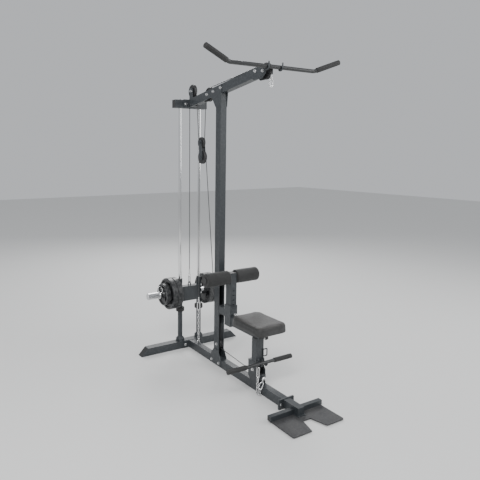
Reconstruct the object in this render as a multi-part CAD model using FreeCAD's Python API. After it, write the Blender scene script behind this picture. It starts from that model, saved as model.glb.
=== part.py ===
import FreeCAD, Part
import math
import os

Vector = FreeCAD.Vector
os.makedirs("parts", exist_ok=True)

# Plate-loaded lat pulldown and low row machine, in millimetres.
# +Z is up, the foot plate is towards -Y, the load carriage towards +Y, and X is left to right.
# The origin is on the floor, under the middle of the whole machine.

# Frame tube
tube_width = 50.0
tube_depth = 60.0
tube_wall = 3.0
plate_wall = 4.0
fit_gap = 0.2          # between parts that only touch when bolted up
running_gap = 0.05     # radial clearance of a wheel on its axle
slide_gap = 1.0        # telescoping tubes, each side

# Floor frame
base_front_y = -742.0
stabilizer_front_y = 396.0
stabilizer_depth = 60.0
stabilizer_height = 60.0
stabilizer_half = 453.0
stabilizer_slant = 58.0
rear_flange_half = 78.0
front_flange_half = 60.0
front_bolt_x = 44.0
flange_wall = 6.0

# Upright
upright_slot_half = 19.0
upper_slot_z = (466.0, 650.0)
lower_slot_z = (74.0, 396.0)

# Boom: its top line falls towards the rear
boom_top_z = 2044.0
boom_slope = 0.1442
boom_front_y = -426.0
crossbar_half = 142.0
crossbar_depth = 50.0
crossbar_height = 60.0
cut_reach = 240.0        # how far a cutting block runs past the boom
head_drop = 148.0        # from the boom's top line to the foot of its saddle plates
crossbar_z = boom_top_z - 124.0

# Guide rods and their stands
rod_x = 88.0
rod_y = 432.0
rod_radius = 12.5
stand_radius = 19.0
stand_top_z = 307.0
stand_cup_radius = 34.0
stand_cup_height = 36.0
bumper_radius = 34.0
bumper_height = 35.0

# Cables and pulleys
cable_radius = 2.75
pulley_radius = 50.0
pulley_half_width = 11.0
groove_depth = 5.5
low_pulley_radius = 42.0
small_pulley_radius = 33.0
upper_block_radius = 41.0
axle_radius = 5.0
front_axle = (-482.0, boom_top_z + 28.0)
boom_axle = (151.0, boom_top_z - 47.0)
rear_axle_z = boom_top_z + 1.0
block_upper = (255.0, boom_top_z - 389.0)
block_lower = (242.0, boom_top_z - 498.0)
upright_axle = (-6.0, 165.0)
row_axle = (-445.0, 140.0)
anchor_cable_z = 446.0

# Carriage
carriage_height = 232.0
carriage_beam_z = (390.0, 510.0)
carriage_beam_depth = 50.0
sleeve_z = 466.0
sleeve_radius = 25.0
sleeve_end_x = 380.0
sleeve_groove_x = (280.0, 284.0)
sleeve_groove_depth = 1.0
plate_start_x = 124.0
stop_wall = 9.0
stop_radius = 42.0
plate_gap = 2.0
large_plate_radius = 125.0
large_plate_width = 42.0
small_plate_radius = 87.0
small_plate_width = 40.0
plate_bore_gap = 0.4
bushing_length = 30.0
bushing_rim = 3.0
liner_radius = 15.5
carriage_eye_z = 536.0
hook_stack = 110.0

# Thigh holder
post_y = -147.5
post_bottom_z = 352.0
post_top_z = 734.0
holder_wall = 4.0
holder_z = (350.0, 505.0)
link_z = (410.0, 466.0)
roller_z = 705.0
roller_end_x = 222.0
roller_radius = 49.0
roller_inner_x = 28.0
shaft_radius = 12.5
hole_pitch = 33.5
pin_z = 443.0

# Seat
arm_z = (362.0, 422.0)
arm_front_y = -497.0
seat_half = 122.0
seat_back_y = -302.0
seat_front_y = -620.0
seat_top_z = 489.0
seat_corner = 42.0
seat_plate_wall = 5.0
soft_gap = 0.3
seat_post_width = 60.0
seat_post_depth = 50.0
seat_post_y = -456.0
seat_post_bottom_z = 200.0
seat_pin_z = 346.0
housing_y = (-505.0, -396.0)

# Foot plate
foot_plate_half = 200.0
foot_plate_y = (-1028.0, -822.0)
foot_plate_z = 7.0
foot_plate_wall = 5.0
notch_outer = 60.0
notch_inner = 30.0
notch_depth = 105.0
foot_bar_half = 207.0
foot_bar_y = -827.0
foot_bar_size = 30.0
foot_link_front_y = -872.0
foot_link_height = 50.0

# Bars
bar_radius = 12.5
grip_radius = 16.5
row_bar_radius = 11.5
row_grip_radius = 16.0
lat_bar_y = -551.0
lat_bar_z = boom_top_z + 43.0
lat_bend_x = 329.0
lat_tip = (509.0, -584.0, lat_bar_z + 65.0)
lat_bend_radius = 70.0
hook_x = 53.0
hook_rod = 5.0
row_bar_x = -20.0
row_bar_y = -512.0
row_bar_z = 203.0
row_bar_half = 262.0
row_grip_length = 150.0
row_hook_x = -38.0
row_hook_low_z = 110.0
row_eye_drop = 24.5
cradle_x = 22.0
chain_low_x = -51.0
chain_low_y = (-522.0, -548.0)
chain_low_z = 15.0
row_hook_drop = (-51.0, -24.0, -54.0)

# Cable ends and chain
cable_tail = 28.0
ball_radius = 14.0
ferrule_radius = 5.0
thimble_half = 7.0
thimble_wire = 2.5
snap_half = 11.0
snap_wire = 3.5
link_wire = 2.3
link_half = 6.6
link_play = 0.8
eye_wire = 4.0

# Fasteners
bolt_radius = 5.0
bolt_head_radius = 8.5
bolt_head_height = 6.5
washer_radius = 10.5
washer_height = 1.5

half = tube_width / 2
depth_half = tube_depth / 2
boom_tilt = math.degrees(math.atan(boom_slope))
wrap_loss = groove_depth - cable_radius
wrap_radius = pulley_radius - wrap_loss
low_wrap_radius = low_pulley_radius - wrap_loss
small_wrap_radius = small_pulley_radius - wrap_loss
upper_block_wrap = upper_block_radius - wrap_loss
rear_axle = (rod_y - wrap_radius, rear_axle_z)
crossbar_front_y = rod_y - crossbar_depth / 2
base_top_z = tube_depth
bumper_top_z = stand_top_z + bumper_height
holder_half_x = half + slide_gap + holder_wall
holder_half_y = depth_half + slide_gap + holder_wall
holder_front_y = post_y - holder_half_y
holder_rear_y = post_y + holder_half_y
foot_bar_bottom_z = foot_plate_z + foot_plate_wall
row_cable_z = row_axle[1] - low_wrap_radius
link_share = 2 * link_wire + link_play
hook_inset = snap_wire + link_wire + link_play
thimble_inset = snap_wire + thimble_wire + link_play
anchor_y = block_lower[0] + wrap_radius
ball_y = housing_y[0] - plate_wall - ball_radius - soft_gap


def box(x0, x1, y0, y1, z0, z1):
    return Part.makeBox(x1 - x0, y1 - y0, z1 - z0, Vector(x0, y0, z0))


def rod_along(start, end, radius):
    path = Vector(*end) - Vector(*start)
    return Part.makeCylinder(radius, path.Length, Vector(*start), path)


def fuse(solids):
    joined = solids[0]
    for solid in solids[1:]:
        joined = joined.fuse(solid)
    return joined.removeSplitter()


def cut(solid, tools):
    for tool in tools:
        solid = solid.cut(tool)
    return solid


def mirrored(solid):
    return solid.mirror(Vector(0, 0, 0), Vector(1, 0, 0))


def both_sides(solid):
    return [solid, mirrored(solid)]


def side_plate(points, x0, x1):
    # A flat plate in the YZ plane from a list of (y, z) corners
    corners = [Vector(x0, y, z) for y, z in points]
    face = Part.Face(Part.makePolygon(corners + [corners[0]]))
    return face.extrude(Vector(x1 - x0, 0, 0))


def bent_path(points, radii):
    # Straight runs joined by tangent arcs, one radius per inner point
    knots = [Vector(*p) for p in points]
    edges = []
    start = knots[0]
    for i in range(1, len(knots) - 1):
        back = (knots[i - 1] - knots[i]).normalize()
        ahead = (knots[i + 1] - knots[i]).normalize()
        turn = math.pi - back.getAngle(ahead)
        reach = radii[i - 1] * math.tan(turn / 2)
        first = knots[i] + back * reach
        last = knots[i] + ahead * reach
        bisector = (back + ahead).normalize()
        centre = knots[i] + bisector * (radii[i - 1] / math.cos(turn / 2))
        middle = centre - bisector * radii[i - 1]
        edges.append(Part.LineSegment(start, first).toShape())
        edges.append(Part.Arc(first, middle, last).toShape())
        start = last
    edges.append(Part.LineSegment(start, knots[-1]).toShape())
    return Part.Wire(edges)


def pipe(wire, radius):
    first = wire.OrderedEdges[0]
    start = first.valueAt(first.FirstParameter)
    direction = first.tangentAt(first.FirstParameter)
    ring = Part.Wire([Part.Circle(start, direction, radius).toShape()])
    return wire.makePipeShell([ring], True, False)


def bent_rod(points, radii, radius):
    return pipe(bent_path(points, radii), radius)


def oval_ring(a, b, outward, half_width, wire_radius):
    # A closed link: two straight sides and two half rounds, whose centres are a and b
    a = Vector(*a)
    b = Vector(*b)
    along = (b - a).normalize()
    side = along.cross(Vector(*outward)).normalize()
    axis = side.cross(along)
    solids = [rod_along(a + side * half_width, b + side * half_width, wire_radius),
              rod_along(a - side * half_width, b - side * half_width, wire_radius)]
    for centre, turn in ((b, 180), (a, -180)):
        start = centre - side * half_width
        ring = Part.Face(Part.Wire([Part.Circle(start, along, wire_radius).toShape()]))
        solids.append(ring.revolve(centre, axis, -turn))
    return fuse(solids)


def write(name, shapes):
    shapes = shapes if isinstance(shapes, list) else [shapes]
    shape = shapes[0] if len(shapes) == 1 else Part.makeCompound(shapes)
    shape.exportStep("parts/" + name + ".step")


def hollow_box(x0, x1, y0, y1, z0, z1, axis):
    wall = tube_wall
    inner = {
        "x": box(x0, x1, y0 + wall, y1 - wall, z0 + wall, z1 - wall),
        "y": box(x0 + wall, x1 - wall, y0, y1, z0 + wall, z1 - wall),
        "z": box(x0 + wall, x1 - wall, y0 + wall, y1 - wall, z0, z1),
    }[axis]
    return box(x0, x1, y0, y1, z0, z1).cut(inner)


def hex_bolt(head, direction, grip, nut=True):
    # Head face at `head`, shank running along `direction` through `grip`, nut at the far side
    away = Vector(*direction)
    start = Vector(*head)
    turn = FreeCAD.Rotation(Vector(0, 0, 1), away)

    def prism(offset, height):
        corners = []
        for i in range(7):
            angle = math.radians(60 * i)
            corner = Vector(bolt_head_radius * math.cos(angle), bolt_head_radius * math.sin(angle), 0)
            corners.append(start + away * offset + turn.multVec(corner))
        return Part.Face(Part.makePolygon(corners)).extrude(away * height)

    parts = [
        prism(-washer_height - bolt_head_height, bolt_head_height),
        Part.makeCylinder(washer_radius, washer_height, start - away * washer_height, away),
    ]
    shank = grip
    if nut:
        parts.append(Part.makeCylinder(washer_radius, washer_height, start + away * grip, away))
        parts.append(prism(grip + washer_height, bolt_head_height))
        shank = grip + washer_height + bolt_head_height + 3
    parts.append(Part.makeCylinder(bolt_radius, shank + washer_height, start - away * washer_height, away))
    return fuse(parts)


def bolt_hole(y, z, reach):
    return rod_along((-reach, y, z), (reach, y, z), bolt_radius + fit_gap)


def boom_top(y):
    return boom_top_z - boom_slope * y


def boom_centre(y):
    return boom_top(y) - depth_half / math.cos(math.radians(boom_tilt))


# Bolts that cross the boom, from front to rear: (y, z)
boom_bolts = [(y, boom_centre(y) + rise) for y, rise in ((-406.0, 9), (-29.0, 6), (63.0, 3))]
foot_bolts = [(-42.0, 28.0), (52.0, 28.0)]
flange_bolt_x = (-62.0, 62.0)
flange_bolt_z = 30.0


# ---- Floor frame ----

def rear_stabilizer():
    y0 = stabilizer_front_y
    y1 = y0 + stabilizer_depth
    tube = hollow_box(-stabilizer_half, stabilizer_half, y0, y1, 0, stabilizer_height, "x")
    corners = [(stabilizer_half, 0), (stabilizer_half + 5, 0), (stabilizer_half + 5, stabilizer_height),
               (stabilizer_half - stabilizer_slant, stabilizer_height)]
    points = [Vector(x, y0 - 1, z) for x, z in corners]
    wedge = Part.Face(Part.makePolygon(points + [points[0]])).extrude(Vector(0, stabilizer_depth + 2, 0))
    holes = [rod_along((x, y0 - 1, flange_bolt_z), (x, y1 + 1, flange_bolt_z), bolt_radius + fit_gap)
             for x in flange_bolt_x]
    return cut(tube, both_sides(wedge) + holes)


def stabilizer_caps():
    # Slanted plastic plugs that close the ends
    inner_y0 = stabilizer_front_y + tube_wall + fit_gap
    inner_y1 = stabilizer_front_y + stabilizer_depth - tube_wall - fit_gap
    low = tube_wall + fit_gap
    high = stabilizer_height - tube_wall - fit_gap
    run = stabilizer_slant / stabilizer_height

    def at(z, back):
        return Vector(stabilizer_half - run * z - back, inner_y0, z)

    corners = [at(low, 0), at(high, 0), at(high, 14), at(low, 14)]
    plug = Part.Face(Part.makePolygon(corners + [corners[0]])).extrude(Vector(0, inner_y1 - inner_y0, 0))
    return both_sides(plug)


def base_tube():
    y0 = base_front_y + flange_wall
    y1 = stabilizer_front_y - flange_wall
    tube = hollow_box(-half, half, y0, y1, 0, base_top_z, "y")
    rear = box(-rear_flange_half, rear_flange_half, y1, stabilizer_front_y, 4, stabilizer_height - 4)
    front = box(-front_flange_half, front_flange_half, base_front_y, y0, 2, base_top_z + 6)
    holes = [rod_along((x, y1 - 1, flange_bolt_z), (x, stabilizer_front_y + 1, flange_bolt_z),
                       bolt_radius + fit_gap) for x in flange_bolt_x]
    side_holes = [bolt_hole(y, z, half + 1) for y, z in foot_bolts]
    front_holes = [rod_along((x, base_front_y - 1, 34), (x, y0 + 1, 34), bolt_radius + fit_gap)
                   for x in (-front_bolt_x, front_bolt_x)]
    return cut(fuse([tube, rear, front]), holes + side_holes + front_holes)


def foot_frame():
    y1 = base_front_y
    y0 = y1 - flange_wall
    low = foot_bar_bottom_z
    flange = box(-front_flange_half, front_flange_half, y0, y1, 2, base_top_z + 6)
    link = hollow_box(-half, half, foot_link_front_y, y0, low, low + foot_link_height, "y")
    nose = box(-half, half, foot_link_front_y - plate_wall, foot_link_front_y, low, low + foot_link_height)
    tongue = box(-half - 6, half + 6, foot_link_front_y - 14, foot_link_front_y + 66, low, low + plate_wall)
    bar_y0 = foot_bar_y - foot_bar_size / 2
    bar_y1 = foot_bar_y + foot_bar_size / 2
    bar = hollow_box(-foot_bar_half, foot_bar_half, bar_y0, bar_y1, low, low + foot_bar_size, "x")
    inside = box(-half + tube_wall, half - tube_wall, bar_y0 - 1, bar_y1 + 1, low + tube_wall,
                 low + foot_bar_size + 1)
    bolt_holes = [rod_along((x, foot_bar_y, low - 1), (x, foot_bar_y, low + tube_wall + 1), bolt_radius + fit_gap)
                  for x in foot_plate_bolt_x]
    flange_holes = [rod_along((x, y0 - 1, 34), (x, y1 + 1, 34), bolt_radius + fit_gap)
                    for x in (-front_bolt_x, front_bolt_x)]
    return cut(fuse([flange, link, nose, tongue, bar.cut(inside)]), bolt_holes + flange_holes)


foot_plate_bolt_x = (-176.0, -118.0, 118.0, 176.0)


def foot_plate():
    front, rear = foot_plate_y
    w = foot_plate_half
    chamfer = 8.0
    corners = [(-w, rear), (-w, front + chamfer), (-w + chamfer, front), (-notch_outer, front),
               (-notch_inner, front + notch_depth), (notch_inner, front + notch_depth),
               (notch_outer, front), (w - chamfer, front), (w, front + chamfer), (w, rear)]
    points = [Vector(x, y, foot_plate_z) for x, y in corners]
    sheet = Part.Face(Part.makePolygon(points + [points[0]])).extrude(Vector(0, 0, foot_plate_wall))
    holes = [rod_along((x, foot_bar_y, foot_plate_z - 1), (x, foot_bar_y, foot_bar_bottom_z + 1),
                       bolt_radius + fit_gap) for x in foot_plate_bolt_x]
    return cut(sheet, holes)


def foot_rubbers():
    # Feet under the plate that bring it level with the base tube
    feet = []
    for x in (-150.0, 150.0):
        for y in (foot_plate_y[0] + 35, foot_plate_y[1] - 40):
            feet.append(Part.makeCylinder(15, foot_plate_z, Vector(x, y, 0)))
    return feet


# ---- Upright and boom ----

def upright():
    top = boom_top(0) + 20
    tube = hollow_box(-half, half, -depth_half, depth_half, base_top_z, top, "z")
    slots = [box(-upright_slot_half, upright_slot_half, -depth_half - 1, -depth_half + tube_wall + 1, z0, z1)
             for z0, z1 in (upper_slot_z, lower_slot_z)]
    rear = box(-pulley_half_width - 3, pulley_half_width + 3, depth_half - tube_wall - 1, depth_half + 1,
               upright_axle[1] - 20, upright_axle[1] + 140)
    above_boom = boom_block(-200, 200, 0.0)
    above_boom = above_boom.fuse(above_boom.translated(Vector(0, 0, 60)))
    holes = [bolt_hole(upright_axle[0], upright_axle[1], half + 1)]
    return cut(tube, slots + [rear, above_boom] + holes)


def boom_block(y0, y1, shrink):
    # The boom's outer form between two vertical planes, `shrink` inside its faces
    reach = 700
    block = box(-half + shrink, half - shrink, -reach, reach, -tube_depth + shrink, -shrink)
    block.rotate(Vector(0, 0, 0), Vector(1, 0, 0), -boom_tilt)
    block.translate(Vector(0, 0, boom_top_z))
    return block.common(box(-half - 1, half + 1, y0, y1, boom_top_z - 2 * cut_reach, boom_top_z + 2 * cut_reach))


def boom():
    rear_y = crossbar_front_y - flange_wall
    tube = boom_block(boom_front_y, rear_y, 0).cut(boom_block(boom_front_y, rear_y, tube_wall))
    plate = box(-72, 72, rear_y, crossbar_front_y, crossbar_z + 1, crossbar_z + crossbar_height + 4)
    low = boom_top_z - cut_reach
    high = boom_top_z + cut_reach
    wheel_slot = box(-pulley_half_width - 3, pulley_half_width + 3, boom_axle[0] - pulley_radius - 8,
                     boom_axle[0] + pulley_radius + 8, low, high)
    cable_slot = box(-8, 8, 314, 356, low, high)
    bolts = [bolt_hole(y, z, half + 1) for y, z in boom_bolts + [boom_axle]]
    plate_bolts = [rod_along((x, rear_y - 1, crossbar_z + 30), (x, crossbar_front_y + 1, crossbar_z + 30),
                             bolt_radius + fit_gap) for x in (-52, 52)]
    return cut(fuse([tube, plate]), [wheel_slot, cable_slot] + bolts + plate_bolts)


def joint_plates():
    # Gussets at the upright's foot and saddle plates at its head, on both sides
    x0 = half
    x1 = half + plate_wall
    foot = side_plate([(-66, 6), (76, 6), (76, 54), (depth_half, 122), (-depth_half, 122), (-66, 54)], x0, x1)
    foot = cut(foot, [bolt_hole(y, z, x1 + 1) for y, z in foot_bolts])
    head_z = boom_top_z - head_drop
    head_top = [(-40.0, boom_top(-40.0) - 3), (84.0, boom_top(84.0) - 3)]
    head = side_plate(head_top + [(84.0, boom_top(84.0) - 58), (depth_half, head_z), (-depth_half, head_z),
                                  (-40.0, boom_top(-40.0) - 64)], x0, x1)
    head = cut(head, [bolt_hole(y, z, x1 + 1) for y, z in boom_bolts[1:]])
    return both_sides(foot) + both_sides(head)


def top_crossbar():
    y0 = crossbar_front_y
    y1 = y0 + crossbar_depth
    z1 = crossbar_z + crossbar_height
    tube = hollow_box(-crossbar_half, crossbar_half, y0, y1, crossbar_z, z1, "x")
    cable = Part.makeCylinder(11, 100, Vector(0, rod_y, crossbar_z - 10))
    rods = [Part.makeCylinder(bolt_radius + fit_gap, 100, Vector(x, rod_y, crossbar_z - 10))
            for x in (-rod_x, rod_x)]
    plate_bolts = [rod_along((x, y0 - 1, crossbar_z + 30), (x, y1 + 1, crossbar_z + 30), bolt_radius + fit_gap)
                   for x in (-52, 52)]
    return cut(tube, [cable] + rods + plate_bolts)


def box_plugs(half_length, y0, y1, z0, z1):
    inset = tube_wall + fit_gap
    plug = box(half_length - 10, half_length, y0 + inset, y1 - inset, z0 + inset, z1 - inset)
    return both_sides(plug)


def tube_end_caps():
    low = foot_bar_bottom_z
    y_half = foot_bar_size / 2
    arm = box(-half + tube_wall + fit_gap, half - tube_wall - fit_gap, arm_front_y, arm_front_y + 10,
              arm_z[0] + tube_wall + fit_gap, arm_z[1] - tube_wall - fit_gap)
    return (stabilizer_caps() + [arm]
            + box_plugs(crossbar_half, crossbar_front_y, crossbar_front_y + crossbar_depth,
                        crossbar_z, crossbar_z + crossbar_height)
            + box_plugs(foot_bar_half, foot_bar_y - y_half, foot_bar_y + y_half, low, low + foot_bar_size))


def front_pulley_bracket():
    x0 = half
    x1 = half + plate_wall
    z = boom_top_z
    plate = side_plate([(-379, z - 4), (-379, boom_top(-379) - 1), (-486, z + 60), (-510, z + 46), (-510, z + 10),
                        (-474, z - 16), (-392, z - 16)], x0, x1)
    holes = [bolt_hole(*boom_bolts[0], x1 + 1), bolt_hole(*front_axle, x1 + 1)]
    return both_sides(cut(plate, holes))


def lat_bar_hooks():
    # Bent rods that leave the bracket sideways and cradle the lat bar
    start_z = boom_top_z + 52.0
    wrap = bar_radius + hook_rod + 0.5
    rear_y = lat_bar_y + wrap
    front_y = lat_bar_y - wrap
    low_z = lat_bar_z - wrap
    points = [(half + plate_wall, -490, start_z), (hook_x, -490, start_z), (hook_x, rear_y, start_z - 2),
              (hook_x, rear_y, low_z), (hook_x, front_y, low_z), (hook_x, front_y, lat_bar_z + 26)]
    return both_sides(bent_rod(points, [8, 7, wrap * 0.98, wrap * 0.98], hook_rod))


def rear_pulley_bracket():
    # Two round-topped ears on a shoe that sits on the boom
    x0 = pulley_half_width + 4
    x1 = x0 + plate_wall
    y, z = rear_axle
    reach = 27.0
    front = y - reach
    rear = y + 18
    sole = [(front, boom_top(front)), (rear, boom_top(rear))]
    ear = fuse([side_plate(sole + [(rear, z), (front, z)], x0, x1), rod_along((x0, y, z), (x1, y, z), reach)])
    raised = [(corner_y, corner_z + plate_wall) for corner_y, corner_z in reversed(sole)]
    shoe = side_plate(sole + raised, -x1, x1)
    shoe = cut(shoe, [box(-x0, x0, y - 24, rear + 1, z - 145, z + 55)])
    return cut(fuse(both_sides(ear) + [shoe]), [bolt_hole(y, z, x1 + 1)])


# ---- Guide rods ----

def guide_rods():
    rods = []
    for x in (-rod_x, rod_x):
        rod = Part.makeCylinder(rod_radius, crossbar_z - base_top_z, Vector(x, rod_y, base_top_z))
        tapped = Part.makeCylinder(bolt_radius + fit_gap, 32, Vector(x, rod_y, crossbar_z - 30))
        rods.append(rod.cut(tapped))
    return rods


def rod_stands():
    stands = []
    for x in (-rod_x, rod_x):
        foot = Vector(x, rod_y, base_top_z)
        body = Part.makeCylinder(stand_radius, stand_top_z - base_top_z, foot)
        cup = Part.makeCylinder(stand_cup_radius, stand_cup_height * 0.55, foot)
        rim = Vector(x, rod_y, base_top_z + stand_cup_height * 0.55)
        cone = Part.makeCone(stand_cup_radius, stand_radius, stand_cup_height * 0.45, rim)
        bore = Part.makeCylinder(rod_radius + fit_gap, 400, foot)
        stands.append(cut(fuse([body, cup, cone]), [bore]))
    return stands


def rod_bumpers():
    rings = []
    for x in (-rod_x, rod_x):
        ring = Part.makeCylinder(bumper_radius, bumper_height, Vector(x, rod_y, stand_top_z))
        bore = Part.makeCylinder(rod_radius + fit_gap, bumper_height, Vector(x, rod_y, stand_top_z))
        ring = ring.cut(bore)
        round_edges = [e for e in ring.Edges if e.BoundBox.ZLength < 0.1 and e.BoundBox.XLength > 2 * bumper_radius - 1]
        rings.append(ring.makeFillet(6, round_edges))
    return rings


# ---- Seat and thigh holder ----

def seat_frame():
    # One weldment: short link on the upright, holder for the thigh post, arm under the seat
    link = hollow_box(-half, half, holder_rear_y, -depth_half, link_z[0], link_z[1], "y")
    outer = box(-holder_half_x, holder_half_x, holder_front_y, holder_rear_y, holder_z[0], holder_z[1])
    inner_x = half + slide_gap
    inner_y = depth_half + slide_gap
    bore = box(-inner_x, inner_x, post_y - inner_y, post_y + inner_y, holder_z[0] - 1, holder_z[1] + 1)
    arm = hollow_box(-half, half, arm_front_y, holder_front_y, arm_z[0], arm_z[1], "y")
    sight = rod_along((0, holder_front_y - 1, 498), (0, holder_front_y + holder_wall + 1, 498), 4)
    pin = rod_along((0, holder_front_y - 1, pin_z), (0, holder_front_y + holder_wall + 1, pin_z),
                    axle_radius + running_gap)
    return cut(fuse([link, outer, arm]), [bore, sight, pin])


def thigh_post():
    y0 = post_y - depth_half
    y1 = post_y + depth_half
    tube = hollow_box(-half, half, y0, y1, post_bottom_z, post_top_z, "z")
    shaft = rod_along((-roller_end_x, post_y, roller_z), (roller_end_x, post_y, roller_z), shaft_radius)
    holes = [rod_along((0, y0 - 1, pin_z + hole_pitch * i), (0, y0 + tube_wall + 1, pin_z + hole_pitch * i), 5.5)
             for i in range(-2, 6)]
    return fuse([cut(tube, holes), shaft])


def thigh_post_cap():
    inset = tube_wall + fit_gap
    y0 = post_y - depth_half
    y1 = post_y + depth_half
    lid = box(-half, half, y0, y1, post_top_z, post_top_z + 4)
    lid = lid.makeFillet(1.5, [e for e in lid.Edges if e.BoundBox.ZMin > post_top_z + 3])
    plug = box(-half + inset, half - inset, y0 + inset, y1 - inset, post_top_z - 10, post_top_z)
    return fuse([lid, plug])


def foam_roller(sign):
    x0 = sign * roller_inner_x
    x1 = sign * (roller_end_x - 2)
    foam = rod_along((x0, post_y, roller_z), (x1, post_y, roller_z), roller_radius)
    foam = foam.makeFillet(9, [e for e in foam.Edges if e.BoundBox.XLength < 0.1])
    return foam.cut(rod_along((x0, post_y, roller_z), (x1, post_y, roller_z), shaft_radius + running_gap * 2))


def roller_end_caps():
    caps = []
    for sign in (-1, 1):
        x0 = sign * (roller_end_x - 1.5)
        caps.append(cut(rod_along((x0, post_y, roller_z), (sign * (roller_end_x + 4), post_y, roller_z), 21),
                        [rod_along((0, post_y, roller_z), (sign * roller_end_x, post_y, roller_z),
                                   shaft_radius)]))
    return caps


def seat_post():
    # Post with the row pulley's housing welded under it
    x_half = seat_post_width / 2
    y0 = seat_post_y - seat_post_depth / 2
    y1 = seat_post_y + seat_post_depth / 2
    tube = hollow_box(-x_half, x_half, y0, y1, seat_post_bottom_z, arm_z[0], "z")
    deck_y = seat_post_y - seat_post_depth / 2 - 5
    deck = box(-x_half, x_half, deck_y, housing_y[1], seat_post_bottom_z - 6, seat_post_bottom_z)
    floor = box(-x_half, x_half, housing_y[0], housing_y[1] - 24, base_top_z, base_top_z + plate_wall)
    cheek = side_plate([(housing_y[1], seat_post_bottom_z), (deck_y, seat_post_bottom_z),
                        (deck_y, seat_post_bottom_z - 24), (housing_y[0], seat_post_bottom_z - 50),
                        (housing_y[0], base_top_z), (housing_y[1] - 24, base_top_z),
                        (housing_y[1], base_top_z + 30)], x_half - plate_wall, x_half)
    cheek = cut(cheek, [bolt_hole(*row_axle, x_half + 1)])
    stop = box(-x_half, x_half, housing_y[0] - plate_wall, housing_y[0], base_top_z + 22, base_top_z + 62)
    stop = cut(stop, [rod_along((0, housing_y[0] - 5, row_cable_z), (0, housing_y[0] + 1, row_cable_z), 5)])
    pin = rod_along((x_half - tube_wall - 1, seat_post_y, seat_pin_z), (x_half + 1, seat_post_y, seat_pin_z),
                    axle_radius + running_gap)
    return fuse([cut(tube, [pin]), deck, floor, stop] + both_sides(cheek))


def row_bar_rest():
    # Two cradles in front of the post, and a tall loop beside the right one
    face_y = seat_post_y - seat_post_depth / 2
    wrap = bar_radius + hook_rod + 0.5
    low_z = row_bar_z - wrap
    cradles = []
    for x in (-cradle_x, cradle_x):
        points = [(x, face_y, row_bar_z + 23), (x, row_bar_y + wrap, row_bar_z + 23), (x, row_bar_y + wrap, low_z),
                  (x, row_bar_y - wrap, low_z), (x, row_bar_y - wrap, row_bar_z - 1)]
        cradles.append(bent_rod(points, [6, wrap * 0.98, wrap * 0.98], hook_rod))
    x0 = seat_post_width / 2 - 6
    y = face_y - 4
    loop = bent_rod([(x0, y, 236), (x0, y, 284), (x0 + 32, y, 284), (x0 + 32, y, 236), (x0 + 5, y, 236)],
                    [6, 6, 6], 4)
    return cradles + [loop]


def seat_plate():
    return box(-78, 78, -520, seat_back_y - 26, arm_z[1], arm_z[1] + seat_plate_wall)


def seat_pad():
    z0 = arm_z[1] + seat_plate_wall
    pad = box(-seat_half, seat_half, seat_front_y, seat_back_y, z0, seat_top_z)
    upright_edges = [e for e in pad.Edges if e.BoundBox.ZLength > 20]
    pad = pad.makeFillet(seat_corner, upright_edges)
    return pad.makeFillet(11, [e for e in pad.Edges if e.BoundBox.ZMin > seat_top_z - 1])


def pin_housings():
    y1 = holder_front_y
    thigh = cut(rod_along((0, y1 - 16, pin_z), (0, y1, pin_z), 10),
                [rod_along((0, y1 - 17, pin_z), (0, y1 + 1, pin_z), axle_radius + running_gap)])
    x0 = seat_post_width / 2
    seat = cut(rod_along((x0, seat_post_y, seat_pin_z), (x0 + 20, seat_post_y, seat_pin_z), 11),
               [rod_along((x0 - 1, seat_post_y, seat_pin_z), (x0 + 21, seat_post_y, seat_pin_z),
                          axle_radius + running_gap)])
    return [thigh, seat]


def thigh_pull_pin():
    y1 = holder_front_y + holder_wall
    y0 = holder_front_y - 16.5
    shank = rod_along((0, y1, pin_z), (0, y0 - 6, pin_z), axle_radius)
    knob = rod_along((0, y0 - 6, pin_z), (0, y0 - 30, pin_z), 11)
    knob = knob.makeFillet(3, [e for e in knob.Edges if e.BoundBox.YLength < 0.1])
    neck = rod_along((0, y0, pin_z), (0, y0 - 6, pin_z), 7)
    return fuse([shank, neck, knob])


def seat_lock_pin():
    x0 = seat_post_width / 2
    x1 = x0 + 20.5
    shank = rod_along((x0 - tube_wall, seat_post_y, seat_pin_z), (x1 + 6, seat_post_y, seat_pin_z), axle_radius)
    neck = rod_along((x1, seat_post_y, seat_pin_z), (x1 + 6, seat_post_y, seat_pin_z), 7)
    knob = rod_along((x1 + 6, seat_post_y, seat_pin_z), (x1 + 28, seat_post_y, seat_pin_z), 13)
    knob = knob.makeFillet(4, [e for e in knob.Edges if e.BoundBox.XLength < 0.1])
    return fuse([shank, neck, knob])


# ---- Pulleys and cables ----

def pulley(y, z, radius):
    # Grooved nylon wheel: hub, web and a rim with a round groove
    w = pulley_half_width
    groove = radius - groove_depth
    bore = axle_radius + running_gap
    rim = 9.0
    profile = [(bore, -w), (14, -w), (15.5, -w + 3.5), (groove - 7, -w + 3.5), (groove - rim + 4, -w + 1.5),
               (radius - 1.5, -w + 1.5), (radius, -w + 3), (radius, -w + 5), (groove, -2.2), (groove, 2.2),
               (radius, w - 5), (radius, w - 3), (radius - 1.5, w - 1.5), (groove - rim + 4, w - 1.5),
               (groove - 7, w - 3.5), (15.5, w - 3.5), (14, w), (bore, w)]
    corners = [Vector(x, y + r, z) for r, x in profile]
    face = Part.Face(Part.makePolygon(corners + [corners[0]]))
    return face.revolve(Vector(0, y, z), Vector(1, 0, 0), 360)


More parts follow.
